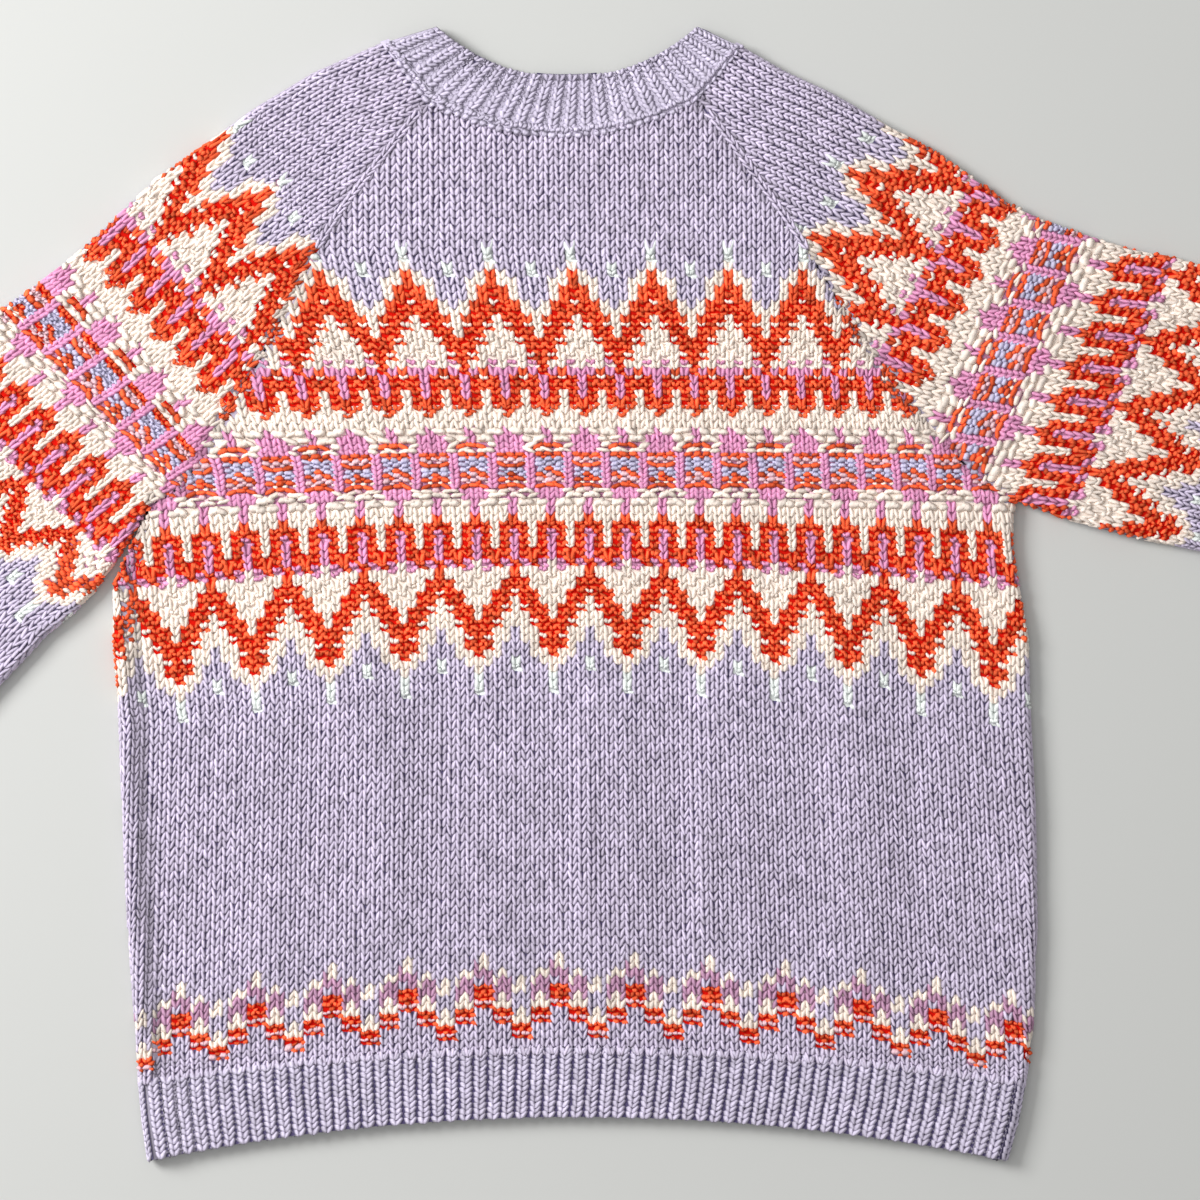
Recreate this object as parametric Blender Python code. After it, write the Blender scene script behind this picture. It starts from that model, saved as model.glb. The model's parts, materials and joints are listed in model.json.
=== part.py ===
"""Fair isle jumper with raglan sleeves, laid flat on a table with its back facing up.

Every piece of the jumper is a knitted wall. A piece is a run of sections: each section is a
line over the middle of the wall, worked out from a row of a table, and the wall stands half
its thickness to either side of it. The front lies on the table, the back lies on the front,
and the cloth turns over in a round fold along the sides of the body and of the sleeves.
+X is to the right seen from above, +Y towards the neck, +Z up, and the table is at z = 0.
"""
import bisect
import math
from collections import namedtuple

import bmesh
import bpy
from mathutils import Vector

MM = 0.001

# The cloth.
WALL = 3.0 * MM                 # thickness of the knitted wall
LAYER_GAP = 0.6 * MM            # air between the front and the back lying on it
SEAM_GAP = 0.3 * MM             # between two pieces that are sewn together
FRONT_NECK_GAP = 0.8 * MM       # the same along the front's deeply curved neck
FOLD_RADIUS = 2.6 * MM          # of the wall's middle where the cloth turns over
FOLD_EASE = 26.0 * MM           # the fold's roll settles to the flat height over this width
STEP = 0.8 * MM                 # spacing of the points that a section's line is drawn with

# The neck opening, measured between the middles of the folds at its ends. Its edge in front
# is half an ellipse, and inside it nothing lies under the back, which comes down to the table.
NECK_MIDDLE_X = -4.5 * MM
NECK_TOP_Y = 335.0 * MM
NECK_HALF_WIDTH = 68.5 * MM
FRONT_NECK_DEPTH = 85.0 * MM
BACK_NECK_DEPTH = 26.0 * MM
BACK_NECK_POWER = 2.3
DROP_STARTS = 0.80              # the back leaves the front's height at this share of the
DROP_ENDS = 0.42                # ellipse, and lies on the table from this share inwards

# The ribs of hem, cuffs and neckband.
RIB_HEIGHT = 1.1 * MM
SHARP_DEGREES = 50.0            # edges sharper than this show as creases
POINTS_PER_RIB = 3
HEM_RIBS = 61
HEM_RIBS_TURNED = 2
NECK_RIBS = 16                  # beside the panel, and beside each sleeve
NECK_SIDE_RIBS = 4
CUFF_RIBS = 13

# How many steps a section takes over each of its stretches.
END_STEPS = 4
FOLD_STEPS = 8
TURNED_STEPS = 2
BACK_STEPS = 20
FRONT_STEPS = 13
SLEEVE_TOP_STEPS = 8
SLEEVE_UNDER_STEPS = 5
NECKBAND_ROWS = 3
QUARTER_STEPS = 3
TURN_DETAIL = 24                # of the closely drawn lines: round a quarter or half turn,
NECK_SIDE_DETAIL = 40           # along the neckband beside a sleeve,
NECK_DETAIL = 160               # and beside a panel
NECK_BLEND = 12
END_ZONE = 8.0 * MM             # width of the closely stepped strip beside a raglan seam
TURN_ZONE = 16.0 * MM           # the same, where a fold's steps run out onto the flat

# The yoke from the neck to the armpit, in millimetres. left and right are the raglan seams of
# the back, front_left and front_right those of the front, top_left and top_right the fold
# along the top of each sleeve. back_mid and front_mid are the y of the middle of the row.
YokeRow = namedtuple("YokeRow", "left right front_left front_right top_left top_right back_mid front_mid")
YOKE = [
    YokeRow((-80, 298), (65, 300), (-74, 270), (63, 270), (-104, 329), (90, 327), 280, 220),
    YokeRow((-106, 266), (85, 276), (-97, 246), (85, 246), (-143, 312), (114, 313), 269, 211),
    YokeRow((-128, 238), (104, 249), (-118, 223), (106, 223), (-173, 294), (138, 302), 244, 202),
    YokeRow((-136, 226), (118, 230), (-128, 213), (116, 213), (-182, 288), (154, 293), 229, 195),
    YokeRow((-142, 215), (127, 216), (-137, 203), (126, 203), (-194, 279), (168, 285), 216, 188),
    YokeRow((-161, 177), (151, 177), (-161, 177), (151, 177), (-229, 255), (201, 267), 178, 168),
    YokeRow((-189, 127), (182, 132), (-189, 127), (182, 132), (-268, 218), (238, 240), 133, 126),
    YokeRow((-202, 110), (200, 112), (-202, 110), (200, 112), (-285, 204), (252, 233), 116, 112),
    YokeRow((-211, 92), (213, 98), (-211, 92), (213, 98), (-304, 190), (267, 227), 103, 100),
    YokeRow((-222, 80), (228, 85), (-222, 80), (228, 85), (-321, 179), (285, 221), 93, 91),
]

# The row through both armpits: the body's edge, the sleeves' edge beside it, the sleeves' top
# fold and the middle of the row.
BODY_ARMPITS = ((-232.4, 72.1), (240.2, 76.0))
SLEEVE_ARMPITS = ((-235.6, 73.9), (241.8, 78.2))
ARMPIT_TOPS = ((-335, 168), (302, 216))
ARMPIT_BACK_MID = 86
ARMPIT_FRONT_MID = 85

# The body below the armpits: its side edges, the y of the row there and at its middle, and how
# far round from the edge the side seam lies, on top at the left and underneath at the right.
BodyRow = namedtuple("BodyRow", "left right edge_y mid_y seam_in")
BODY = [
    BodyRow(-237.8, 240.9, 66, 79, 2),
    BodyRow(-241.9, 240.6, 58, 71.5, 4),
    BodyRow(-245.5, 241, 50, 64, 6),
    BodyRow(-254, 244, 30, 47, 12),
    BodyRow(-254, 249, 2, 22, 15),
    BodyRow(-251, 250, -36, -11, 15),
    BodyRow(-250, 251.5, -64, -38, 15),
    BodyRow(-249, 253, -91, -66, 15),
    BodyRow(-248, 254, -124, -99, 14),
    BodyRow(-246, 254, -156, -132, 14),
    BodyRow(-244, 253, -184, -161, 14),
    BodyRow(-242, 252, -211, -190, 14),
    BodyRow(-240, 248, -242, -224, 14),
]
HEM = [
    BodyRow(-240, 248, -242.3, -224.3, 14),
    BodyRow(-238, 244, -264, -243, 14),
    BodyRow(-235, 238, -286, -262, 14),
]

# Each sleeve below the armpit: its underarm edge and its top fold, down to the cuff's seam.
SleeveRow = namedtuple("SleeveRow", "under top")
LEFT_SLEEVE = [
    SleeveRow((-253, 43), (-360, 147)),
    SleeveRow((-265, 26), (-382, 129)),
    SleeveRow((-277, 14), (-404, 112)),
    SleeveRow((-291, 3), (-421, 98)),
    SleeveRow((-346, -56), (-464, 52)),
    SleeveRow((-412, -109), (-515, -4)),
    SleeveRow((-472, -155), (-564, -61)),
    SleeveRow((-513, -185), (-597, -99)),
    SleeveRow((-529, -187), (-600, -115)),
]
LEFT_CUFF = [
    SleeveRow((-529.2, -187.2), (-600.2, -115.2)),
    SleeveRow((-552, -208), (-620, -136)),
    SleeveRow((-575, -226), (-641, -158)),
]
RIGHT_SLEEVE = [
    SleeveRow((272, 66), (330, 210)),
    SleeveRow((309, 56), (363, 201)),
    SleeveRow((332, 52), (385, 195)),
    SleeveRow((346, 49), (399, 191)),
    SleeveRow((418, 33), (464, 178)),
    SleeveRow((502, 20), (536, 158)),
    SleeveRow((579, 9), (606, 137)),
    SleeveRow((629, 4), (654, 121)),
    SleeveRow((643, 11), (665, 110)),
]
RIGHT_CUFF = [
    SleeveRow((643.3, 10.9), (665.3, 109.9)),
    SleeveRow((672, 7), (693, 101)),
    SleeveRow((701, 2), (721, 94)),
]

# Soft folds that stand in the upper layer: middle, half length, half width, height, and the
# turn of the fold's run away from +Y in degrees.
SoftFold = namedtuple("SoftFold", "x y half_length half_width height turn")
SOFT_FOLDS = [
    SoftFold(-4, -100, 85, 12, 1.9, -1),
    SoftFold(76, -95, 78, 12, 1.7, 2),
    SoftFold(-104, -120, 60, 15, 0.9, -3),
    SoftFold(168, -110, 70, 15, 1.0, 3),
    SoftFold(-196, 34, 42, 9, 1.2, -28),
    SoftFold(203, 44, 38, 9, 1.1, 25),
    SoftFold(-300, 130, 60, 12, 1.2, 40),
    SoftFold(262, 170, 52, 12, 1.2, 18),
    SoftFold(-430, -20, 70, 13, 1.1, -44),
    SoftFold(500, 95, 80, 13, 1.1, 78),
]

LEFTWARDS = Vector((-1.0, 0.0))
RIGHTWARDS = Vector((1.0, 0.0))
QUARTER = FOLD_RADIUS * math.pi / 2.0   # length of a quarter turn of the wall's middle

# Yarn colours of the pieces.
LILAC = (0.50, 0.46, 0.68)
RIB_LILAC = (0.47, 0.43, 0.66)
CORAL = (0.86, 0.20, 0.07)
CREAM = (0.86, 0.80, 0.68)


def plan(pair):
    """A point of a table, in metres."""
    return Vector((pair[0] * MM, pair[1] * MM))


def smooth(share):
    """Ease from 0 to 1."""
    share = min(max(share, 0.0), 1.0)
    return share * share * (3.0 - 2.0 * share)


def lift_over_front(point):
    """How far the upper layer is held up by what lies under it, from 0 to 1."""
    across = (point.x - NECK_MIDDLE_X) / NECK_HALF_WIDTH
    along = (point.y - NECK_TOP_Y) / FRONT_NECK_DEPTH
    return smooth((math.hypot(across, along) - DROP_ENDS) / (DROP_STARTS - DROP_ENDS))


def soft_folds_at(point):
    """Height that the soft folds add at a point."""
    total = 0.0
    for fold in SOFT_FOLDS:
        angle = math.radians(fold.turn)
        away = point - plan((fold.x, fold.y))
        along = (away.y * math.cos(angle) - away.x * math.sin(angle)) / (fold.half_length * MM)
        across = (away.x * math.cos(angle) + away.y * math.sin(angle)) / (fold.half_width * MM)
        total += fold.height * MM * math.exp(-across ** 2 - along ** 4)
    return total


def fold_roll(distance):
    """Extra height of the upper layer at a distance inwards from a fold's turn."""
    full = 2.0 * FOLD_RADIUS - WALL - LAYER_GAP
    return full * (1.0 - smooth(distance / FOLD_EASE))


def fold_centre(edge, outward):
    """Plan point that the wall's middle turns about, inside a fold's outer edge."""
    return edge - outward * (FOLD_RADIUS + WALL / 2.0)


class Path:
    """A line over the middle of a wall, closely drawn.

    Beside each point it keeps the level direction that runs along the garment there, square
    to the line, so that the wall's faces can be set off to either side of the line.
    """

    def __init__(self, points, sides):
        self.points = points
        self.sides = sides
        self.lengths = [0.0]
        for before, after in zip(points, points[1:]):
            self.lengths.append(self.lengths[-1] + (after - before).length)
        self.whole = self.lengths[-1]

    def place(self, distance):
        """The point at a distance along the line, and the direction beside it."""
        index = min(max(bisect.bisect_left(self.lengths, distance), 1), len(self.points) - 1)
        span = self.lengths[index] - self.lengths[index - 1]
        share = min(max((distance - self.lengths[index - 1]) / span, 0.0), 1.0)
        point = self.points[index - 1].lerp(self.points[index], share)
        return point, self.sides[index - 1].lerp(self.sides[index], share)

    def knot(self, distance):
        """The point at a distance along the line, and the way out of the garment there."""
        before, _ = self.place(distance - STEP / 4.0)
        after, _ = self.place(distance + STEP / 4.0)
        point, side = self.place(distance)
        return point, (after - before).cross(side).normalized()

    def knots(self, start, stretches):
        """Knots from a distance on: stretches lists the length of each and its steps."""
        result = [self.knot(start)]
        for length, steps in stretches:
            result += [self.knot(start + length * (step + 1) / steps) for step in range(steps)]
            start += length
        return result


def chain(*paths):
    """Join paths that meet end to end."""
    points = list(paths[0].points)
    sides = list(paths[0].sides)
    for path in paths[1:]:
        points += path.points[1:]
        sides += path.sides[1:]
    return Path(points, sides)


def turn(edge, outward, start_degrees, end_degrees):
    """The wall's middle round a fold: 90 degrees is on top, 0 outermost, -90 underneath."""
    centre = fold_centre(edge, outward)
    points = []
    for step in range(TURN_DETAIL + 1):
        angle = math.radians(start_degrees + (end_degrees - start_degrees) * step / TURN_DETAIL)
        flat = centre + outward * (FOLD_RADIUS * math.cos(angle))
        height = WALL / 2.0 + FOLD_RADIUS * (1.0 + math.sin(angle))
        points.append(Vector((flat.x, flat.y, height)))
    side = Vector((-outward.y, outward.x, 0.0)) * (1.0 if start_degrees > end_degrees else -1.0)
    return Path(points, [side] * len(points))


def row_line(start, end, mid_y=None):
    """A row's line in plan: straight, or bowed so that its middle lies at mid_y."""
    bow = 0.0 if mid_y is None else mid_y - (start.y + end.y) / 2.0
    steps = max(2, round((end - start).length / STEP))
    line = []
    for step in range(steps + 1):
        share = step / steps
        point = start.lerp(end, share)
        point.y += bow * (1.0 - (2.0 * share - 1.0) ** 2)
        line.append(point)
    return line


def level_sides(line, upper):
    """The direction beside each point of a plan line."""
    sides = []
    for index in range(len(line)):
        run = (line[min(index + 1, len(line) - 1)] - line[max(index - 1, 0)]).normalized()
        side = Vector((-run.y, run.x, 0.0))
        sides.append(side if upper else -side)
    return sides


def upper_layer(line, rolls_at_start, rolls_at_end):
    """Lay a plan line on the upper layer, rising towards the folds at its ends."""
    points = []
    for point in line:
        held_up = lift_over_front(point)
        height = WALL / 2.0 + (WALL + LAYER_GAP) * held_up
        if rolls_at_start:
            height += fold_roll((point - line[0]).length) * held_up
        if rolls_at_end:
            height += fold_roll((point - line[-1]).length) * held_up
        from_ends = min((point - line[0]).length, (point - line[-1]).length)
        height += soft_folds_at(point) * smooth(from_ends / FOLD_EASE)
        points.append(Vector((point.x, point.y, height)))
    return Path(points, level_sides(line, True))


def lower_layer(line):
    """Lay a plan line on the table."""
    points = [Vector((point.x, point.y, WALL / 2.0)) for point in line]
    return Path(points, level_sides(line, False))


def seam_points(column, side):
    """One of the yoke's seams in plan, set off half the seam's gap to one side of it."""
    points = [plan(getattr(row, column)) for row in YOKE]
    moved = []
    for index, point in enumerate(points):
        run = (points[min(index + 1, len(points) - 1)] - points[max(index - 1, 0)]).normalized()
        moved.append(point + Vector((-run.y, run.x)) * (side * SEAM_GAP / 2.0))
    return moved


def body_row(row):
    """A body row's side edges and its line from fold to fold, in plan."""
    left = plan((row.left, row.edge_y))
    right = plan((row.right, row.edge_y))
    line = row_line(fold_centre(left, LEFTWARDS), fold_centre(right, RIGHTWARDS), row.mid_y * MM)
    return left, right, line


def back_round(left, right, line):
    """The path over the back from the left edge, round the right edge and back underneath."""
    return chain(
        turn(left, LEFTWARDS, 0, 90),
        upper_layer(line, True, True),
        turn(right, RIGHTWARDS, 90, -90),
        lower_layer(line[::-1]),
    )


def front_round(left, right, line):
    """The path under the front from the right edge, round the left edge and back on top."""
    return chain(
        turn(right, RIGHTWARDS, 0, -90),
        lower_layer(line[::-1]),
        turn(left, LEFTWARDS, -90, 90),
        upper_layer(line, True, True),
    )


def armpit_row(mid_y):
    """The body's edges and line through the armpits."""
    left = plan(BODY_ARMPITS[0]) - RIGHTWARDS * (WALL / 2.0)
    right = plan(BODY_ARMPITS[1]) + RIGHTWARDS * (WALL / 2.0)
    line = row_line(fold_centre(left, LEFTWARDS), fold_centre(right, RIGHTWARDS), mid_y * MM)
    return left, right, line


def panel_sections(names, mid_column, layer, round_path, steps, armpit_mid):
    """All sections of the back or the front from the neck down to the rib."""
    upper = layer == "back"
    left_seam = seam_points(names[0], 1)
    right_seam = seam_points(names[1], -1)
    sections = []
    for row, left, right in zip(YOKE, left_seam, right_seam):
        line = row_line(left, right, getattr(row, mid_column) * MM)
        path = upper_layer(line, False, False) if upper else lower_layer(line[::-1])
        middle = path.whole - END_ZONE - TURN_ZONE
        stretches = [(END_ZONE, END_STEPS), (middle, steps), (TURN_ZONE, FOLD_STEPS + TURNED_STEPS)]
        sections.append(path.knots(0.0, stretches))
    left, right, line = armpit_row(armpit_mid)
    path = round_path(left, right, line)
    start = 0.0 if upper else SEAM_GAP
    upper_length = upper_layer(line, True, True).whole
    flat = upper_length if upper else lower_layer(line).whole
    reach = flat + 2.0 * QUARTER - 2.0 * start
    stretches = [(END_ZONE, END_STEPS), (reach - END_ZONE - QUARTER, steps)]
    sections.append(path.knots(start, stretches + [(QUARTER, FOLD_STEPS + TURNED_STEPS)]))
    for row in BODY:
        left, right, line = body_row(row)
        path = round_path(left, right, line)
        flat = upper_layer(line, True, True).whole if upper else lower_layer(line).whole
        start = row.seam_in * MM + SEAM_GAP / 2.0
        stretches = [(END_ZONE, END_STEPS), (flat + QUARTER - start - END_ZONE, steps)]
        turned = row.seam_in * MM - SEAM_GAP / 2.0
        if turned > QUARTER:
            stretches += [(2.0 * QUARTER, FOLD_STEPS), (turned - QUARTER, TURNED_STEPS)]
        else:
            stretches.append((QUARTER + turned, FOLD_STEPS + TURNED_STEPS))
        sections.append(path.knots(start, stretches))
    return sections


def back_sections():
    """The back: over the top, round the right edge and a little way underneath."""
    return panel_sections(("left", "right"), "back_mid", "back", back_round, BACK_STEPS, ARMPIT_BACK_MID)


def front_sections():
    """The front: along the table, round the left edge and a little way onto the top."""
    names = ("front_left", "front_right")
    return panel_sections(names, "front_mid", "front", front_round, FRONT_STEPS, ARMPIT_FRONT_MID)


def sleeve_round(under, top):
    """A sleeve's whole round, from its underarm edge over the top and back underneath."""
    across = (under - top).normalized()
    line = row_line(fold_centre(under, across), fold_centre(top, -across))
    over = upper_layer(line, True, True)
    path = chain(
        turn(under, across, 0, 90),
        over,
        turn(top, -across, 90, -90),
        lower_layer(line[::-1]),
        turn(under, across, -90, 0),
    )
    return path, over.whole, lower_layer(line).whole


def sleeve_sections(side):
    """All sections of a sleeve from the neck to the cuff's seam."""
    left = side == "left"
    away = -1 if left else 1
    back_seam = seam_points(side, away)
    front_seam = seam_points("front_" + side, away)
    sections = []
    for row, back_point, front_point in zip(YOKE, back_seam, front_seam):
        top = plan(getattr(row, "top_" + side))
        outward = (top - back_point).normalized()
        centre = fold_centre(top, outward)
        over = upper_layer(row_line(back_point, centre), False, True)
        under = lower_layer(row_line(centre, front_point))
        path = chain(over, turn(top, outward, 90, -90), under)
        sections.append(sleeve_knots(path, 0.0, over.whole, under.whole))
    armpit = plan(SLEEVE_ARMPITS[0 if left else 1])
    top = plan(ARMPIT_TOPS[0 if left else 1])
    armpit += (armpit - top).normalized() * (WALL / 2.0)
    edges = [(armpit, top)]
    edges += [(plan(row.under), plan(row.top)) for row in (LEFT_SLEEVE if left else RIGHT_SLEEVE)]
    trim = SEAM_GAP / 2.0
    for under_edge, top_edge in edges:
        path, over, under = sleeve_round(under_edge, top_edge)
        sections.append(sleeve_knots(path, trim, over + QUARTER - trim, under + QUARTER - trim))
    return sections


def sleeve_knots(path, start, over, under):
    """A sleeve's knots: over the top, round the top fold and along the underside."""
    return path.knots(start, [
        (END_ZONE, END_STEPS),
        (over - END_ZONE, SLEEVE_TOP_STEPS),
        (2.0 * QUARTER, FOLD_STEPS),
        (under - END_ZONE, SLEEVE_UNDER_STEPS),
        (END_ZONE, END_STEPS),
    ])


def cuff_sections(rows):
    """A cuff: ribs over its upper half, plain where it rests on the table."""
    trim = SEAM_GAP / 2.0
    sections = []
    for row in rows:
        path, over, under = sleeve_round(plan(row.under), plan(row.top))
        sections.append(path.knots(trim, [
            (over + 2.0 * QUARTER - trim, CUFF_RIBS * POINTS_PER_RIB),
            (QUARTER, QUARTER_STEPS),
            (under, QUARTER_STEPS),
            (QUARTER - trim, QUARTER_STEPS),
        ]))
    return sections


def hem_back_sections():
    """The back's rib: ribs from the left side seam to the right edge, plain underneath."""
    sections = []
    for row in HEM:
        left, right, line = body_row(row)
        start = row.seam_in * MM + SEAM_GAP / 2.0
        ribbed = upper_layer(line, True, True).whole + 2.0 * QUARTER - start
        turned = row.seam_in * MM - QUARTER - SEAM_GAP / 2.0
        sections.append(back_round(left, right, line).knots(start, [
            (ribbed, HEM_RIBS * POINTS_PER_RIB),
            (QUARTER, QUARTER_STEPS),
            (turned, TURNED_STEPS),
        ]))
    return sections


def hem_front_sections():
    """The front's rib: plain where it rests on the table, ribs where it turns onto the top."""
    sections = []
    for row in HEM:
        left, right, line = body_row(row)
        start = row.seam_in * MM + SEAM_GAP / 2.0
        sections.append(front_round(left, right, line).knots(start, [
            (lower_layer(line).whole + QUARTER - start, FRONT_STEPS),
            (QUARTER, QUARTER_STEPS),
            (row.seam_in * MM - SEAM_GAP / 2.0, HEM_RIBS_TURNED * POINTS_PER_RIB),
        ]))
    return sections


def even(line, steps):
    """A plan line resampled into even steps."""
    flat = Path([point.to_3d() for point in line], [Vector((0.0, 0.0, 1.0))] * len(line))
    return [flat.place(flat.whole * step / steps)[0].to_2d() for step in range(steps + 1)]


def neck_seam(layer):
    """The neckband's sewn edge in plan, from the left fold's middle to the right one's."""
    first = YOKE[0]
    names = ("left", "right") if layer == "back" else ("front_left", "front_right")
    mid_y = first.back_mid if layer == "back" else first.front_mid
    ends = []
    for top, seam in ((first.top_left, first.left), (first.top_right, first.right)):
        outward = (plan(top) - plan(seam)).normalized()
        ends.append(fold_centre(plan(top), outward))
    left, right = [plan(getattr(first, name)) for name in names]
    line = even(row_line(ends[0], left), NECK_SIDE_DETAIL)
    line += even(row_line(left, right, mid_y * MM), NECK_DETAIL)[1:]
    return line + even(row_line(right, ends[1]), NECK_SIDE_DETAIL)[1:]


def neck_edge(layer, steps):
    """The neckband's free edge in plan, from the left fold's middle to the right one's."""
    line = []
    for step in range(NECK_DETAIL + 1):
        across = -math.cos(math.pi * step / NECK_DETAIL)
        if layer == "back":
            y = NECK_TOP_Y - BACK_NECK_DEPTH * (1.0 - abs(across) ** BACK_NECK_POWER)
        else:
            y = NECK_TOP_Y - FRONT_NECK_DEPTH * math.sqrt(1.0 - across ** 2)
        line.append(Vector((NECK_MIDDLE_X + across * NECK_HALF_WIDTH, y)))
    return even(line, steps)


def neckband_line(layer, width_share):
    """A line along the neckband in plan, width_share of the way from its seam to its edge."""
    seam = neck_seam(layer)
    edge = neck_edge(layer, len(seam) - 1)
    gap = SEAM_GAP if layer == "back" else FRONT_NECK_GAP
    start = gap / (seam[0] - edge[0]).length
    gaps = [start] * len(seam)
    if layer == "front":
        at_fold = SEAM_GAP / (seam[0] - edge[0]).length
        gaps = [at_fold + (start - at_fold) * smooth(min(index, len(seam) - 1 - index) / NECK_BLEND)
                for index in range(len(seam))]
    line = []
    for sewn, free, gap_share in zip(seam, edge, gaps):
        line.append(sewn.lerp(free, width_share + (1.0 - width_share) * gap_share))
    return line


def neckband_sections():
    """The neckband from its seam to its free edge: ribs on the back, plain under it."""
    trim = SEAM_GAP / 2.0
    side_end = NECK_SIDE_DETAIL
    panel_end = NECK_SIDE_DETAIL + NECK_DETAIL
    side_steps = NECK_SIDE_RIBS * POINTS_PER_RIB
    sections = []
    for index in range(NECKBAND_ROWS):
        back = neckband_line("back", index / (NECKBAND_ROWS - 1))
        front = neckband_line("front", index / (NECKBAND_ROWS - 1))
        left_out = (back[0] - back[NECK_BLEND]).normalized()
        right_out = (back[-1] - back[-1 - NECK_BLEND]).normalized()
        left = back[0] + left_out * (FOLD_RADIUS + WALL / 2.0)
        right = back[-1] + right_out * (FOLD_RADIUS + WALL / 2.0)
        over = upper_layer(back, True, True)
        under = lower_layer(front[::-1])
        path = chain(
            turn(left, left_out, 0, 90),
            over,
            turn(right, right_out, 90, -90),
            under,
            turn(left, left_out, -90, 0),
        )
        sections.append(path.knots(trim, [
            (over.lengths[side_end] + QUARTER - trim, side_steps),
            (over.lengths[panel_end] - over.lengths[side_end], NECK_RIBS * POINTS_PER_RIB),
            (over.whole - over.lengths[panel_end] + QUARTER, side_steps),
            (QUARTER, QUARTER_STEPS),
            (under.lengths[side_end], NECK_SIDE_RIBS),
            (under.lengths[panel_end] - under.lengths[side_end], NECK_RIBS),
            (under.whole - under.lengths[panel_end], NECK_SIDE_RIBS),
            (QUARTER - trim, QUARTER_STEPS),
        ]))
    return sections


def rib_relief(columns, first, last):
    """Extra height of each column: the crests of the ribs from column first to column last."""
    relief = [0.0] * columns
    for column in range(first, last):
        if (column - first) % POINTS_PER_RIB:
            relief[column] = RIB_HEIGHT
    return relief


def knitted_piece(name, sections, colour, relief=None):
    """Build one piece: a wall round its sections, with ribs raised on the outside only."""
    relief = relief or [0.0] * len(sections[0])
    mesh = bmesh.new()
    outer = []
    inner = []
    for section in sections:
        outer_row = []
        inner_row = []
        for (point, normal), extra in zip(section, relief):
            outside = point + normal * (WALL / 2.0 + extra)
            inside = point - normal * (WALL / 2.0)
            outside.z = max(outside.z, 0.0)
            inside.z = max(inside.z, 0.0)
            outer_row.append(mesh.verts.new(outside))
            inner_row.append(mesh.verts.new(inside))
        outer.append(outer_row)
        inner.append(inner_row)
    for row in range(len(outer) - 1):
        for face in (outer, inner):
            for index in range(len(face[row]) - 1):
                here = face[row][index], face[row][index + 1]
                mesh.faces.new((*here, face[row + 1][index + 1], face[row + 1][index]))
        for end in (0, -1):
            mesh.faces.new((outer[row][end], outer[row + 1][end], inner[row][end]))
            mesh.faces.new((inner[row][end], outer[row + 1][end], inner[row + 1][end]))
    for outer_row, inner_row in ((outer[0], inner[0]), (outer[-1], inner[-1])):
        for index in range(len(outer_row) - 1):
            corners = (outer_row[index], outer_row[index + 1], inner_row[index + 1], inner_row[index])
            mesh.faces.new(corners)
    bmesh.ops.recalc_face_normals(mesh, faces=mesh.faces)
    data = bpy.data.meshes.new(name)
    mesh.to_mesh(data)
    mesh.free()
    data.shade_smooth()
    data.set_sharp_from_angle(angle=math.radians(SHARP_DEGREES))
    data.materials.append(yarn(name + "_yarn", colour))
    piece = bpy.data.objects.new(name, data)
    bpy.context.collection.objects.link(piece)
    return piece


def yarn(name, colour):
    """A matt woollen yarn."""
    material = bpy.data.materials.new(name)
    material.use_nodes = True
    shader = material.node_tree.nodes["Principled BSDF"]
    shader.inputs["Base Color"].default_value = (*colour, 1.0)
    shader.inputs["Roughness"].default_value = 0.92
    shader.inputs["Metallic"].default_value = 0.0
    return material


def clear_scene():
    """Start from an empty scene."""
    for thing in list(bpy.data.objects):
        bpy.data.objects.remove(thing, do_unlink=True)


def build_body():
    """The back and the front, and the rib at the foot of each."""
    knitted_piece("back_panel", back_sections(), LILAC)
    knitted_piece("front_panel", front_sections(), CREAM)
    hem_back = hem_back_sections()
    ribs_end = HEM_RIBS * POINTS_PER_RIB
    knitted_piece("hem_rib_back", hem_back, RIB_LILAC, rib_relief(len(hem_back[0]), 0, ribs_end))
    hem_front = hem_front_sections()
    columns = len(hem_front[0])
    ribs_start = columns - 1 - HEM_RIBS_TURNED * POINTS_PER_RIB
    knitted_piece("hem_rib_front", hem_front, RIB_LILAC, rib_relief(columns, ribs_start, columns - 1))


def build_sleeves():
    """Both sleeves with their cuffs."""
    ribs_end = CUFF_RIBS * POINTS_PER_RIB
    for side, cuff in (("left", LEFT_CUFF), ("right", RIGHT_CUFF)):
        knitted_piece("sleeve_" + side, sleeve_sections(side), CORAL)
        sections = cuff_sections(cuff)
        knitted_piece("cuff_" + side, sections, RIB_LILAC, rib_relief(len(sections[0]), 0, ribs_end))


def build_neck():
    """The ribbed neckband."""
    sections = neckband_sections()
    ribs_end = (NECK_RIBS + 2 * NECK_SIDE_RIBS) * POINTS_PER_RIB
    knitted_piece("neckband", sections, RIB_LILAC, rib_relief(len(sections[0]), 0, ribs_end))


def main():
    clear_scene()
    build_body()
    build_sleeves()
    build_neck()


main()
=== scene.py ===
import json
import math

import bmesh
import bpy
import numpy as np
from bpy.props import FloatProperty, FloatVectorProperty, PointerProperty
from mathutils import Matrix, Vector
from mathutils.bvhtree import BVHTree

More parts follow.
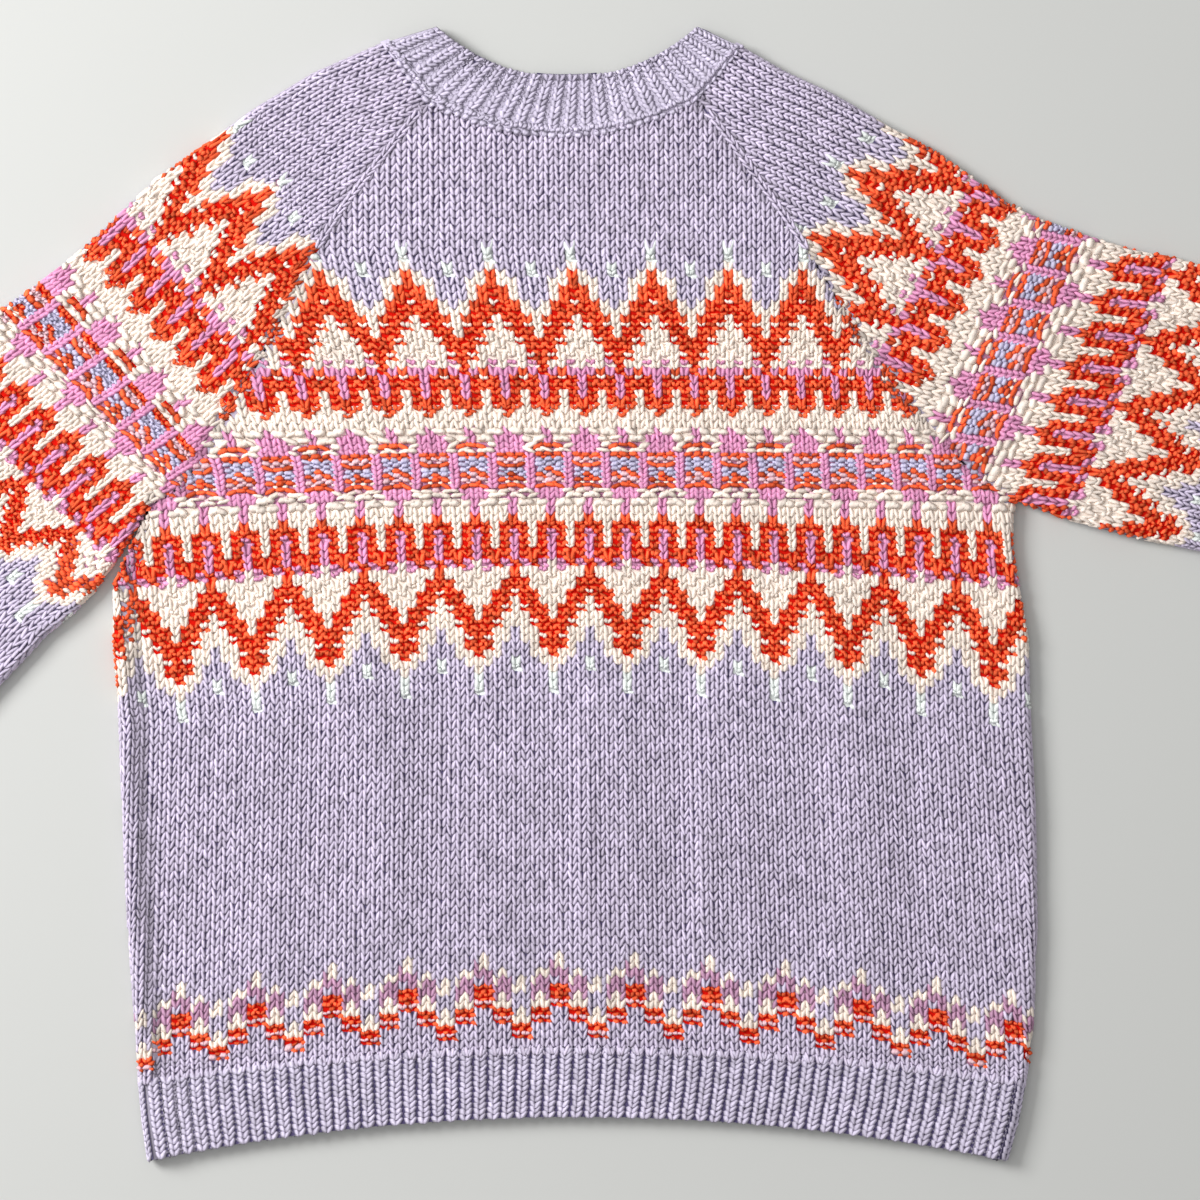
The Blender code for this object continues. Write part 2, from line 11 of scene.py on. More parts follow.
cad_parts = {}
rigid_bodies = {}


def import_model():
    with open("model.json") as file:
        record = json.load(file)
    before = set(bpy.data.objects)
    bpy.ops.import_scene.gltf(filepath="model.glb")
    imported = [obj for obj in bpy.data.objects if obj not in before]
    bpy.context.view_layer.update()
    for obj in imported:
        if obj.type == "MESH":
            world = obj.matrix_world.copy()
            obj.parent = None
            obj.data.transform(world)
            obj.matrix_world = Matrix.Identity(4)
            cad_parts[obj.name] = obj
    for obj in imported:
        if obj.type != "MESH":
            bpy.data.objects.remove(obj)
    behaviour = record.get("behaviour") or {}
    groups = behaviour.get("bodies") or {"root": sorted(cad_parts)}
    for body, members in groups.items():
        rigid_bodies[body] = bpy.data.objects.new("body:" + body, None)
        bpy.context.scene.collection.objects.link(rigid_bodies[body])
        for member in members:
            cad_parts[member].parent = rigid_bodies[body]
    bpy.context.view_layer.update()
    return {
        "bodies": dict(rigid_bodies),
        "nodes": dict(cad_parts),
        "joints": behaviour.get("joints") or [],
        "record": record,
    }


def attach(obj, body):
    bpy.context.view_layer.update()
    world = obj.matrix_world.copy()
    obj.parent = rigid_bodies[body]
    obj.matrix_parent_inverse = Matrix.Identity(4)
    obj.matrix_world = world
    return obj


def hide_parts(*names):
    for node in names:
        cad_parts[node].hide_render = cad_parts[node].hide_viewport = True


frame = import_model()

bl_info = {
    "name": "Fair Isle Jumper",
    "version": (1, 0, 0),
    "blender": (4, 5, 0),
    "location": "3D View > Sidebar > Jumper",
    "description": "Knits a fair isle jumper stitch by stitch over its plain form, and lights it",
    "category": "Object",
}

MM = 0.001
ROOT = "root"
FAR = 0.1                       # well over or under the jumper
RESTING = 0.5 * MM              # what is lower than this lies on the table
SEAM_BELOW = 5.4 * MM           # a lower hit than this is down in an open seam
SEAM_REACH = 1.0 * MM
SIDEWAYS = np.array((1.0, 0.0))
HALVES = (0.0, 0.5, 1.0)

# The fold that the cloth makes along its edges, in millimetres, as in the plain form.
FOLD = 4.1
FOLD_HEIGHT = 4.1
FOLD_STITCHES = 3.9             # radius that the stitches' middles follow round the fold
WRAP = 1.95 * FOLD_STITCHES     # how far the stitches go round it
QUARTER = FOLD * math.pi / 2.0  # length of a quarter turn round it

# Letters of the charts. A small letter is a knit stitch and a capital is a purl bump in that
# yarn. Strands lie across the face of the knitting, and a run of them hangs like a garland (1),
# arches (-1) or lies straight (0). A mixed cell is a purl bump of one yarn with a small dash of
# another one on it. A split cell is a knit stitch whose two legs are of two yarns.
YARNS = ("lilac", "cream", "coral", "orchid", "mint", "blue", "pink", "rib", "ground", "mauve",
         "coral_gap_shade")
KNIT, PURL, STRAND, RIB = "knit", "purl", "strand", "rib"
CHART_YARNS = {"l": "lilac", "w": "cream", "c": "coral", "o": "orchid", "m": "mint", "b": "blue",
               "p": "pink", "v": "mauve"}
STRANDS = {"-": ("cream", 0.0), "=": ("coral", 1.0), "^": ("coral", -1.0)}
SPLIT = {"r": ("lilac", "cream"), "s": ("cream", "lilac"),
         "t": ("mauve", "cream"), "u": ("cream", "mauve")}
TALL = {"n": "mint"}            # knit stitches that reach into the row above
MIXED = {"x": ("coral", "cream"), "y": ("cream", "coral"), "q": ("cream", "orchid"),
         "z": ("coral", "pink")}

YOKE_CHART = """
llllllll llllnlll llllMlll mlllwlll Mllwcwll llwwcwwl llwcCcwl llwcCcwl lwcCxCcw wwCCCCCw
wcCCwCCc wxCxwxCx wCCwwwCC CCxWwWxC CCwwWwwC CxwWwWwx Cwwqwqwq Cocoooco oCxCoCxC oCCCoCCC
oCwCoCwC cCwCcCwC CywyCywy ywwwywww wwwwwwww o---o--- o--ooo--
""".split()
WOVEN_CHART = """
^^-ooo-^ ---ooo-- CCoCCCoC BBoPPPoB BBo===oB CBoBBBoB PCoBCBoC zPoyyyoP ^^o^^^o^ oo--P--o
""".split()
LOWER_CHART = """
oo-----o o---o--- owwwowww cwwwcwww CCwCCCwC OCwCOCwC oCwCoCwC oCxCoCxC oCcCoCcC wOCOCOCO
wqwwcwwq WwwxCxww wWwCCCwW WwCCxCCw wwCCwCCw wCCxwxCC wCCwwwCC CCxwwwxC CCwwlwwC Cxwwlwwx
CCwlllwC Cwwlllww wwllmllw wlllMlll mlllllll mlllllll Mlllllll
""".split()
BORDER_CHART = """
llllrsll lllltsll llrwvvrs rsuvlvuv wsvvCCvv lltuCCtu llwwzzww rsCCllCC wwzzllzz CCllllll
zzllllll
""".split()
REPEAT = 8
YOKE_PLAIN_ROWS = 21
BODY_PLAIN_ROWS = 32
LAST_PLAIN_ROWS = 2

# The rows of the back, from the neck down: y of the middle of the row, in millimetres, beside
# the number of the row in the chart. The woven band is knitted tighter.
CHART_TOP_Y = 218.2
CHART_PITCH = 4.125
WOVEN_TOP_Y = 107.4
WOVEN_PITCH = 2.76
LOWER_TOP_Y = 80.2
PLAIN_TOP_Y = -31.3
PLAIN_PITCH = 4.444
BORDER_TOP_Y = -173.5
BORDER_PITCH = 4.29

# How the columns of the back run: at a height y, the x of the column at the middle of a
# repeat, the width of a column there, and how much the columns crowd towards the right. Then
# how far the row's ends lie below its middle.
COLUMN_Y = (-198, -27, 44, 95, 143, 162, 214, 280)
COLUMN_X = (9.6, 8.5, 8.0, 6.6, 3.9, 2.5, -2.75, -3.3)
COLUMN_WIDTH = (5.21, 5.07, 5.13, 5.15, 5.25, 5.33, 5.61, 5.6)
COLUMN_CROWD = (0.0, 0.0006, 0.0022, 0.0045, 0.0105, 0.0105, 0.011, 0.01)
SAG_Y = (-262, -224, -214, -88, -8, 40, 64, 84, 105, 143, 217)
SAG_LEFT = (24, 18, 22, 23.5, 21.5, 13.0, 10.5, 7.0, 5.5, 1.7, 0)
SAG_RIGHT = (24, 18, 22, 23.5, 20.5, 12.0, 7.0, 2.0, 2.0, 1.7, 0)
ROW_HALF_WIDTH = 250.0
BACK_COLUMNS = range(-54, 54)
UPPER_FROM_Y = 128.0            # the back is knitted in three pieces, divided at these heights
MIDDLE_FROM_Y = -40.0

# Edges of the back, in millimetres. Above the armpits they are the raglan seams.
EDGE_Y_LEFT = (-286, -264, -242, -211, -156, -91, -36, 2, 30, 50, 58, 66, 73, 80, 92, 110, 127,
               177, 215, 226, 238, 266, 298)
EDGE_X_LEFT = (-235, -238, -240, -242, -246, -249, -251, -254, -254, -245.5, -241.9, -237.8, -234,
               -222, -211, -202, -189, -161, -142, -136, -128, -106, -80)
EDGE_Y_RIGHT = (-286, -264, -242, -211, -156, -91, -36, 2, 30, 50, 58, 66, 76, 85, 98, 112, 132,
                177, 216, 230, 249, 276, 300)
EDGE_X_RIGHT = (238, 244, 248, 252, 254, 253, 250, 249, 244, 241, 240.6, 240.9, 241.5, 228, 213,
                200, 182, 151, 127, 118, 104, 85, 65)
ARMPIT_LEFT_Y = 72.0
ARMPIT_RIGHT_Y = 76.0
SIDE_SEAM_Y = (-290, 2, 30, 50, 58, 66, 73)
SIDE_SEAM_IN = (11, 11.5, 8.5, 3, 1, -1, -4)
NECK_SEAM_MIDDLE = (-7.5, 280.0)
NECK_SEAM_END = (72.5, 19.0)
NECK_SEAM_OVER = 0.6            # how far the back's stitches reach over that seam

# The sleeves: chart rows, then the inner edge, which is the raglan seam as far as the armpit
# and the underarm edge from there, and the fold along the top (out).
LEFT_ROWS = (-22, -12.1, -3.5, 0, 4, 12, 21.5, 26, 30, 34, 37.5, 43.5, 50, 56, 60, 73.5, 88, 102,
             112, 117)
LEFT_IN = tuple(zip(EDGE_X_LEFT, EDGE_Y_LEFT))[:11:-1] + (
    (-253, 43), (-265, 26), (-277, 14), (-291, 3), (-346, -56), (-412, -109), (-472, -155),
    (-513, -185), (-529, -187))
LEFT_OUT = ((-104, 329), (-143, 312), (-173, 294), (-182, 288), (-194, 279), (-229, 255),
            (-268, 218), (-285, 204), (-304, 190), (-321, 179), (-335, 168), (-360, 147),
            (-382, 129), (-404, 112), (-421, 98), (-464, 52), (-515, -4), (-564, -61),
            (-597, -99), (-600, -115))
RIGHT_ROWS = (-22, -14.2, -5.9, 0, 4, 12, 21.5, 26, 30, 34, 37.5, 43.5, 50.5, 56, 60, 73, 88, 102,
              111, 114.5)
RIGHT_IN = tuple(zip(EDGE_X_RIGHT, EDGE_Y_RIGHT))[:12:-1] + (
    (241, 77), (272, 66), (309, 56), (332, 52), (346, 49), (418, 33), (502, 20), (579, 9),
    (629, 4), (643, 11))
RIGHT_OUT = ((90, 327), (114, 313), (138, 302), (154, 293), (168, 285), (201, 267), (238, 240),
             (252, 233), (267, 227), (285, 221), (302, 216), (330, 210), (363, 201), (385, 195),
             (399, 191), (464, 178), (536, 158), (606, 137), (654, 121), (665, 110))
# Distance from the top fold to the nearest repeat's middle column, and the column's width.
LEFT_COLUMNS = ((-19, 2.0, 4.9), (4, 1.7, 4.95), (15, 5.0, 4.75), (60, 6.0, 4.9), (117, 6.0, 4.3))
RIGHT_COLUMNS = ((-19, 36.0, 5.1), (4, 32.2, 5.1), (15, 29.0, 5.2), (30, 16.5, 5.0),
                 (45, 8.5, 4.87), (60, 8.3, 4.9), (115, 8.3, 4.3))
ARMPIT_ROW = 37.5
WOVEN_FROM = 26.5               # rows at which the woven and the lower band begin
LOWER_FROM = 33.5
SLEEVE_END = {"left": 116.6, "right": 114.2}
SLEEVE_PLAIN_ROWS = 22
SLEEVE_COLUMNS = range(-8, 40)

# The ribs. The hem: y of its middle and of its ends, and x of its two ends, from the top down.
HEM_LINES = ((-224.3, -243, -262), (-242.3, -264, -286), (-240, -238, -235), (248, 244, 238))
HEM_SEAM_IN = 11.5
HEM_RIBS, HEM_ROWS = 61, 13
CUFF_RIBS, CUFF_ROWS = 13, 20
NECK_RIBS, NECK_ROWS = 24, 9
FRONT_NECK_RIBS, FRONT_NECK_ROWS = 30, 7
NECK_STEPS = 240                # even steps that the neck's lines are divided into
# The cuffs: the inner and outer end of their rows, from the sleeve to the edge.
LEFT_CUFF = (((-529.2, -187.2), (-600.2, -115.2)), ((-552, -208), (-620, -136)),
             ((-575, -226), (-641, -158)))
RIGHT_CUFF = (((643.3, 10.9), (665.3, 109.9)), ((672, 7), (693, 101)), ((701, 2), (721, 94)))
NECK_SEAM = ((-104, 329), (-80, 298), (65, 300), (90, 327))
FRONT_NECK_SEAM = ((-101, 326), (-74, 270), (63, 270), (87, 324))
FRONT_NECK_LOW = 220.0
FRONT_NECK_DEPTH = 85.0
NECK_MIDDLE = (-4.5, 335.0)
NECK_HALF_WIDTH = 68.5
BACK_NECK_DEPTH = 26.0
BACK_NECK_POWER = 2.3

# Width and length of each cut in metres, and what it lies on.
CLOTH_SIZES = {
    "back_panel": (0.52, 0.54, "front_panel"),
    "front_panel": (0.52, 0.50, None),
    "sleeve_left": (0.33, 0.66, None),
    "sleeve_right": (0.33, 0.66, None),
    "neckband": (0.46, 0.03, None),
    "hem_rib_back": (0.50, 0.046, "hem_rib_front"),
    "hem_rib_front": (0.50, 0.046, None),
    "cuff_left": (0.20, 0.061, None),
    "cuff_right": (0.20, 0.061, None),
}
RIBBED = ("neckband", "hem_rib_back", "hem_rib_front", "cuff_left", "cuff_right")


def share_setting(name, description, default, low, high):
    """A share that a user can set."""
    return FloatProperty(name=name, description=description, default=default, min=low, max=high,
                         subtype="FACTOR")


def length_setting(name, description, default, low=0.0, high=10.0):
    """A length that a user can set."""
    return FloatProperty(name=name, description=description, default=default, min=low, max=high,
                         unit="LENGTH")


def power_setting(name, description, default):
    """A light's power that a user can set."""
    return FloatProperty(name=name, description=description, default=default, min=0.0,
                         unit="POWER")


def colour_setting(name, description, default):
    """A colour that a user can set."""
    return FloatVectorProperty(name=name, description=description, default=default, min=0.0,
                               max=1.0, size=3, subtype="COLOR")


class StitchSizes(bpy.types.PropertyGroup):
    """Sizes of the stitches."""

    leg_width: share_setting(
        "Leg width", "Width of a stitch's leg, as a share of its column", 0.47, 0.3, 0.9)
    leg_length: share_setting(
        "Leg length", "Length of a stitch's leg, as a share of its row", 1.64, 1.0, 2.4)
    leg_lean: share_setting(
        "Leg lean", "How far apart a leg's ends lie, as a share of its column", 0.35, 0.0, 0.6)
    relief: length_setting(
        "Relief", "Half the thickness of a strand", 1.25 * MM, 0.2 * MM, 2.0 * MM)
    sunk: length_setting(
        "Ground depth", "Depth of the ground cloth below the plain form", 1.2 * MM, 0.0, 1.5 * MM)
    unevenness: share_setting(
        "Unevenness", "How much hand-knitted strands differ from each other", 0.09, 0.0, 0.3)


class YarnColours(bpy.types.PropertyGroup):
    """Colours of the yarns, and two darker colours that are painted shade between the stitches."""

    lilac: colour_setting("Lilac", "Main yarn", (0.70, 0.62, 0.78))
    cream: colour_setting("Cream", "Undyed yarn", (1.0, 0.875, 0.78))
    coral: colour_setting("Coral", "Coral red yarn", (1.0, 0.15, 0.055))
    orchid: colour_setting("Orchid", "Orchid yarn", (0.84, 0.37, 0.6))
    mint: colour_setting("Mint", "Pale mint yarn", (0.9, 0.94, 0.91))
    blue: colour_setting("Periwinkle", "Periwinkle blue yarn", (0.64, 0.6, 0.8))
    pink: colour_setting("Pink", "Pink yarn", (0.9, 0.6, 0.66))
    rib: colour_setting("Rib lilac", "Yarn of the ribs", (0.68, 0.62, 0.77))
    mauve: colour_setting("Mauve", "Heathered mauve yarn", (0.6, 0.34, 0.5))
    # Painted shade: the next two colours are darker ones laid on the ground between coral, lilac
    # and rib stitches, for the shade there.
    coral_gap_shade: colour_setting("Brick", "Deep red seen between coral stitches", (0.68, 0.008, 0.003))
    ground: colour_setting("Ground", "Yarn seen between the stitches", (0.115, 0.095, 0.2))


class StudioLight(bpy.types.PropertyGroup):
    """Floor, lights and camera."""

    floor: colour_setting("Floor", "Colour of the floor", (0.63, 0.635, 0.615))
    key: power_setting("Key light", "Power of the main light", 56.0)
    fill: power_setting("Fill light", "Power of the soft light from above", 15.0)
    height: length_setting("Camera height", "Height of the camera above the floor", 2.4, 0.5)
    field: length_setting("Field", "Width that the camera sees", 0.66, 0.1)


SEED = 8
SEAM_MARGIN = -0.12             # a stitch's middle reaches this share of its width over a seam
# Painted shade and highlight: how much a yarn's colour is darkened between the strands and at a
# strand's sides, and lightened along its crest, for the shade and light there; and how plump its
# strands are.
SHADES_AND_PLUMPNESS = {
    "lilac": (1.0, 0.60, 1.20, 1.0), "rib": (1.0, 0.64, 1.20, 1.0),
    "cream": (0.96, 1.0, 1.06, 0.90), "coral": (0.74, 0.90, 1.10, 0.95),
    "orchid": (0.62, 0.84, 1.12, 0.92), "mint": (0.85, 0.98, 1.04, 0.8),
    "blue": (0.74, 0.88, 1.08, 0.9), "pink": (0.75, 0.92, 1.06, 0.8),
    "mauve": (0.50, 0.80, 1.12, 0.9), "ground": (1.0, 1.0, 1.0, 1.0),
    "coral_gap_shade": (1.0, 1.0, 1.0, 1.0),
}
GAP_SHADES = {"lilac": "ground", "rib": "ground", "coral": "coral_gap_shade"}    # painted shade: darker yarns laid between those yarns' stitches, for the shade there
FULLER = {"cream": 0.10, "orchid": 0.08, "mint": 0.25}  # share by which their legs are wider
SPECKLE = 0.9                   # how much strands differ in tone
CORAL_SPECKLE = 2.4
TIGHT_ROW = 0.7                 # rows lower than this share of a column show orchid behind them
TIGHT_LEG = 1.3                 # how much wider the legs are in tight rows
LEG_APART = 0.25                # where a leg lies beside the middle, as a share of its column
LEG_TILT = -0.15
LEG_BOW = 0.03
RIB_TILT = -0.14
STRAND_LIFT = 0.50 * MM
# The two legs of a rib's stitch: how far to the side and how high they lie, how wide, long and
# plump they are, and how they lean.
RIB_LEGS = ((-0.25, 0.0, 0.55, 1.55, 2.0, -0.24), (0.23, 0.10, 0.57, 1.60, 2.1, 0.44))
# The strands across a purl stitch: how far up and along they lie, as shares of the row and the
# column, their lift in millimetres, how thick, long and plump they are, how they turn and bow,
# how uneven they are, and their part: 0 may be of a second yarn.
BUMPS = {
    "tight": ((0.10, 0.0, 0.45, 0.98, 0.98, 2.3, 0.0, 0.14, 1.5, 0),
              (-0.26, -0.5, 0.10, 0.80, 0.66, 1.9, 0.0, -0.2, 1.5, 1)),
    "plain": ((0.20, -0.21, 0.30, 0.60, 0.54, 2.0, -0.40, 0.0, 2.2, 0),
              (0.20, 0.21, 0.30, 0.60, 0.54, 2.0, 0.40, 0.0, 2.2, 0),
              (-0.26, -0.5, 0.10, 0.62, 0.74, 2.0, 0.0, -0.26, 2.2, 1)),
    "mixed": ((0.20, -0.21, 0.30, 0.60, 0.54, 1.7, -0.40, 0.0, 2.2, 0),
              (0.20, 0.21, 0.30, 0.60, 0.54, 1.7, 0.40, 0.0, 2.2, 0),
              (-0.26, -0.5, 0.10, 0.62, 0.74, 2.0, 0.0, -0.26, 2.2, 1)),
    "flat": ((0.16, 0.0, 0.0, 0.62, 0.92, 2.0, 0.0, 0.24, 1.0, 0),
             (-0.26, -0.5, 0.0, 0.58, 0.86, 1.8, 0.0, -0.22, 1.0, 1)),
}
PATCH = 0.53                    # half the size of the ground behind a stitch, as a share of it
PATCH_LOWEST = -0.5 * MM
SUNK_SHADE = 0.45                # painted shade: how much darker a stitch is painted for each millimetre that it is sunk
FLAT_RELIEF = 0.30 * MM         # height of the stitches that are pressed flat underneath
FLAT_BASE = 0.32 * MM           # height of the ground that they lie on
CLOTH_SHADE = 0.6                # painted shade: how much darker the cloth behind the stitches is painted, for the shade there
CLOTH_BASE = 0.35 * MM          # height of that cloth's underside
TOP_ABOVE = 3.2 * MM            # the form's points above this height are on its upper face
BOTTOM_BELOW = 0.1 * MM
RIPPLE = 3.6 * MM               # height of the soft ripples in the body
RIDGE = 3.6 * MM                # height of the two ridges among them
RIDGE_X = (4.0, 70.0)           # where they run, in millimetres, and how wide and long they are
RIDGE_Y = -115.0
RIDGE_WIDTH = 8.5
RIDGE_LENGTH = 62.0
CHAIN_PITCH = 4.4               # length and width of the chain's stitches up the raglan seams
CHAIN_WIDTH = 4.2
CHAIN_RAISED = 0.2 * MM
CHAIN_LOW = 216.2               # lowest place of the chains, in millimetres
# Stitches in the seams' grooves, the left armpit's hollow and the ribs' valleys are sunk, and
# painted darker the deeper they lie, for the shade there.
GROOVE = 1.0                    # how far a seam's groove reaches to a side, in columns
GROOVE_DEPTH = -0.85 * MM
SIDE_GROOVE_DEPTH = -1.0 * MM
HOLLOW = 1.6                    # how far the left armpit's hollow reaches, in columns
HOLLOW_Y = 92.0                 # middle of that hollow, and how far it reaches up and down
HOLLOW_REACH = 34.0
RIB_VALLEY = -1.1 * MM          # how much lower the stitches between the ribs lie
RIB_SHARE = 0.80                # share of a rib's width that its knit column takes
NECK_VALLEY = -0.65 * MM
NECK_SHARE = 0.72
NECK_RIDGE = 1.1 * MM           # how much higher the neckband's bound edge lies
NECK_RIDGE_SHARE = 0.62
EDGE_HEIGHT = 8.0 * MM          # height of a rib's stitches just past the edge of the form
NECK_EDGE_HEIGHT = 6.0 * MM


# ---------------------------------------------------------------- yarn and cloth finishes

def feed(tree, node, feeds):
    """Link or set a node's sockets."""
    for socket, value in feeds.items():
        if isinstance(value, bpy.types.NodeSocket):
            tree.links.new(value, node.inputs[socket])
        else:
            node.inputs[socket].default_value = value


def node_at(tree, kind, x, y, feeds=None, **values):
    """Add a shader node at a place, with its settings and what feeds its sockets."""
    node = tree.nodes.new(kind)
    node.location = (x, y)
    for name, value in values.items():
        setattr(node, name, value)
    feed(tree, node, feeds or {})
    return node


def wool_group():
    """Node group: how a woollen yarn's colour and height vary over its surface."""
    group = bpy.data.node_groups.new("wool_surface", "ShaderNodeTree")
    for name, way, kind in (("Yarn", "INPUT", "Color"), ("Dark fleck", "INPUT", "Color"),
                            ("Fleck share", "INPUT", "Float"), ("Colour", "OUTPUT", "Color"),
                            ("Height", "OUTPUT", "Float"), ("Roughness", "OUTPUT", "Float")):
        group.interface.new_socket(name, in_out=way, socket_type="NodeSocket" + kind)

    def noise(y, scale, detail=2.0, roughness=0.5):
        """Noise on the piece's own coordinates."""
        return node_at(group, "ShaderNodeTexNoise", -800, y, {
            "Vector": place, "Scale": scale, "Detail": detail,
            "Roughness": roughness}).outputs["Fac"]

    def spread(value, x, y, low, high, to_low=0.0, to_high=1.0):
        """A value spread from one range over another."""
        return node_at(group, "ShaderNodeMapRange", x, y, {
            "Value": value, "From Min": low, "From Max": high, "To Min": to_low,
            "To Max": to_high}).outputs["Result"]

    def reckon(operation, x, y, *values):
        """A sum of values."""
        return node_at(group, "ShaderNodeMath", x, y, dict(enumerate(values)),
                       operation=operation).outputs[0]

    start = node_at(group, "NodeGroupInput", -1100, 0).outputs
    place = node_at(group, "ShaderNodeTexCoord", -1100, -300).outputs["Object"]
    fibres = noise(-100, 1500.0, 3.0, 0.7)
    flecks = reckon("MULTIPLY", -350, -50, spread(fibres, -550, -100, 0.52, 0.72),
                    start["Fleck share"])
    dyed = node_at(group, "ShaderNodeMix", -150, 100, {
        "Factor": flecks, "A": start["Yarn"], "B": start["Dark fleck"]}, data_type="RGBA")
    washes = reckon("MULTIPLY", -350, -400,
                    spread(noise(-350, 170.0), -550, -350, 0.3, 0.7, 0.86, 1.10),
                    spread(noise(-600, 14.0), -550, -600, 0.3, 0.7, 0.96, 1.04))
    # Each point's tone holds its random tone and its painted shade and highlight.
    tone_and_shade = node_at(group, "ShaderNodeAttribute", -550, -800, attribute_name="tone_and_shade")
    shade = node_at(group, "ShaderNodeHueSaturation", 150, 100, {
        "Color": dyed.outputs["Result"],
        "Value": reckon("MULTIPLY", -100, -400, washes, tone_and_shade.outputs["Fac"])})
    twist = node_at(group, "ShaderNodeUVMap", -1100, -900, uv_map="Twist")
    split = node_at(group, "ShaderNodeSeparateXYZ", -900, -900, {0: twist.outputs["UV"]})
    around = reckon("MULTIPLY", -700, -850, split.outputs["X"], math.tau)
    plies = reckon("SINE", -500, -1000, reckon(
        "MULTIPLY_ADD", -700, -1000, split.outputs["Y"], 26.0, around))
    node_at(group, "NodeGroupOutput", 700, 0, {
        "Colour": shade.outputs["Color"],
        "Height": reckon("MULTIPLY_ADD", -300, -900, plies, 0.30, fibres),
        "Roughness": spread(fibres, 150, -200, 0.0, 1.0, 0.80, 0.98)})
    return group


def wool(name, colour):
    """A matt woollen yarn with darker flecks and a soft halo."""
    material = bpy.data.materials.new(name)
    material.use_nodes = True
    tree = material.node_tree
    group = bpy.data.node_groups.get("wool_surface") or wool_group()
    surface = node_at(tree, "ShaderNodeGroup", -500, 100, {
        "Yarn": (*colour, 1.0), "Dark fleck": (*[0.62 * part for part in colour], 1.0),
        "Fleck share": 0.35}, node_tree=group).outputs
    bump = node_at(tree, "ShaderNodeBump", -250, -250, {
        "Strength": 0.55, "Distance": 0.4 * MM, "Height": surface["Height"]})
    feed(tree, tree.nodes["Principled BSDF"], {
        "Base Color": surface["Colour"], "Roughness": surface["Roughness"],
        "Normal": bump.outputs["Normal"], "Sheen Weight": 0.08, "Sheen Tint": (*colour, 1.0),
        "Sheen Roughness": 0.5, "Specular IOR Level": 0.06})
    return material


def yarns():
    """The yarns' materials in the order of their numbers, made once."""
    colours = bpy.context.scene.jumper_yarns
    return [bpy.data.materials.get("yarn_" + name) or wool("yarn_" + name, getattr(colours, name))
            for name in YARNS]


# ---------------------------------------------------------------- the form under the stitches

def ripple(x, y):
    """Height of the back's soft ripples over the plain form, at a place in millimetres."""
    fade = min(max((225.0 - abs(x)) / 60.0, 0.0), 1.0) * min(max((60.0 - y) / 90.0, 0.0), 1.0)
    fade *= min(max((y + 222.0) / 50.0, 0.0), 1.0)
    wave = math.sin(x / 10.5 + 0.9 * math.sin(y / 70.0))
    wave += math.sin(x / 19.0 + y / 85.0 + 2.0) * 0.5
    ridge = sum(math.exp(-((x - middle) / RIDGE_WIDTH) ** 2) for middle in RIDGE_X)
    ridge *= math.exp(-((y - RIDGE_Y) / RIDGE_LENGTH) ** 2)
    return fade * (RIPPLE * (0.5 + wave / 3.0) + RIDGE * ridge)


class Form:
    """The plain form, found by looking down on it or up from below."""

    def __init__(self):
        mesh = bmesh.new()
        self.nodes = []
        for name, piece in frame["nodes"].items():
            mesh.from_mesh(piece.data)
            self.nodes += [name] * (len(mesh.faces) - len(self.nodes))
        self.tree = BVHTree.FromBMesh(mesh)
        mesh.free()

    def below(self, x, y):
        """Name of the node that rests on the table at a place in plan, or None."""
        hit = self.tree.ray_cast(Vector((x, y, -FAR)), Vector((0.0, 0.0, 1.0)))
        return None if hit[0] is None or hit[0].z > RESTING else self.nodes[hit[2]]

    def cast(self, x, y):
        """Height of what lies at a place in plan, or None."""
        hit = self.tree.ray_cast(Vector((x, y, FAR)), Vector((0.0, 0.0, -1.0)))
        return None if hit[0] is None else hit[0].z

    def height(self, x, y):
        """Height of the cloth's upper face at a place in plan, past the open seams."""
        found = self.cast(x, y)
        if found is not None and found > SEAM_BELOW:
            return found + ripple(x / MM, y / MM)
        around = [self.cast(x + step_x, y + step_y) for step_x, step_y in
                  ((SEAM_REACH, 0.0), (-SEAM_REACH, 0.0), (0.0, SEAM_REACH), (0.0, -SEAM_REACH))]
        heights = [near for near in (found, *around) if near is not None]
        return max(heights) if heights else None


def interpolate(value, table_in, table_out):
    """Straight interpolation in a table whose first column rises."""
    return float(np.interp(value, table_in, table_out))


def spot_at(value, steps, line):
    """Place on a line of points at a value of their steps."""
    return np.array([np.interp(value, steps, line[:, axis]) for axis in (0, 1)])


def on_fold(centre, outward, arc):
    """Point of a strand that has gone a length round a fold, from millimetres."""
    angle = arc / FOLD_STITCHES
    across = FOLD_STITCHES * math.sin(angle)
    height = FOLD_HEIGHT + FOLD_STITCHES * math.cos(angle)
    return Vector((*(centre + outward * across) * MM, height * MM))


def on_cloth(form, start, across, reach, length, first=True, last=True, missing=None):
    """Point at a distance along a line over the cloth, round the folds at its two ends."""
    if first and reach < FOLD:
        return on_fold(start + across * FOLD, -across, FOLD - reach)
    if last and reach > length - FOLD:
        return on_fold(start + across * (length - FOLD), across, reach - length + FOLD)
    x, y = (start + across * reach) * MM
    height = form.height(x, y)
    if height is None:
        height = missing
    return None if height is None else Vector((x, y, height))


# ---------------------------------------------------------------- stitches

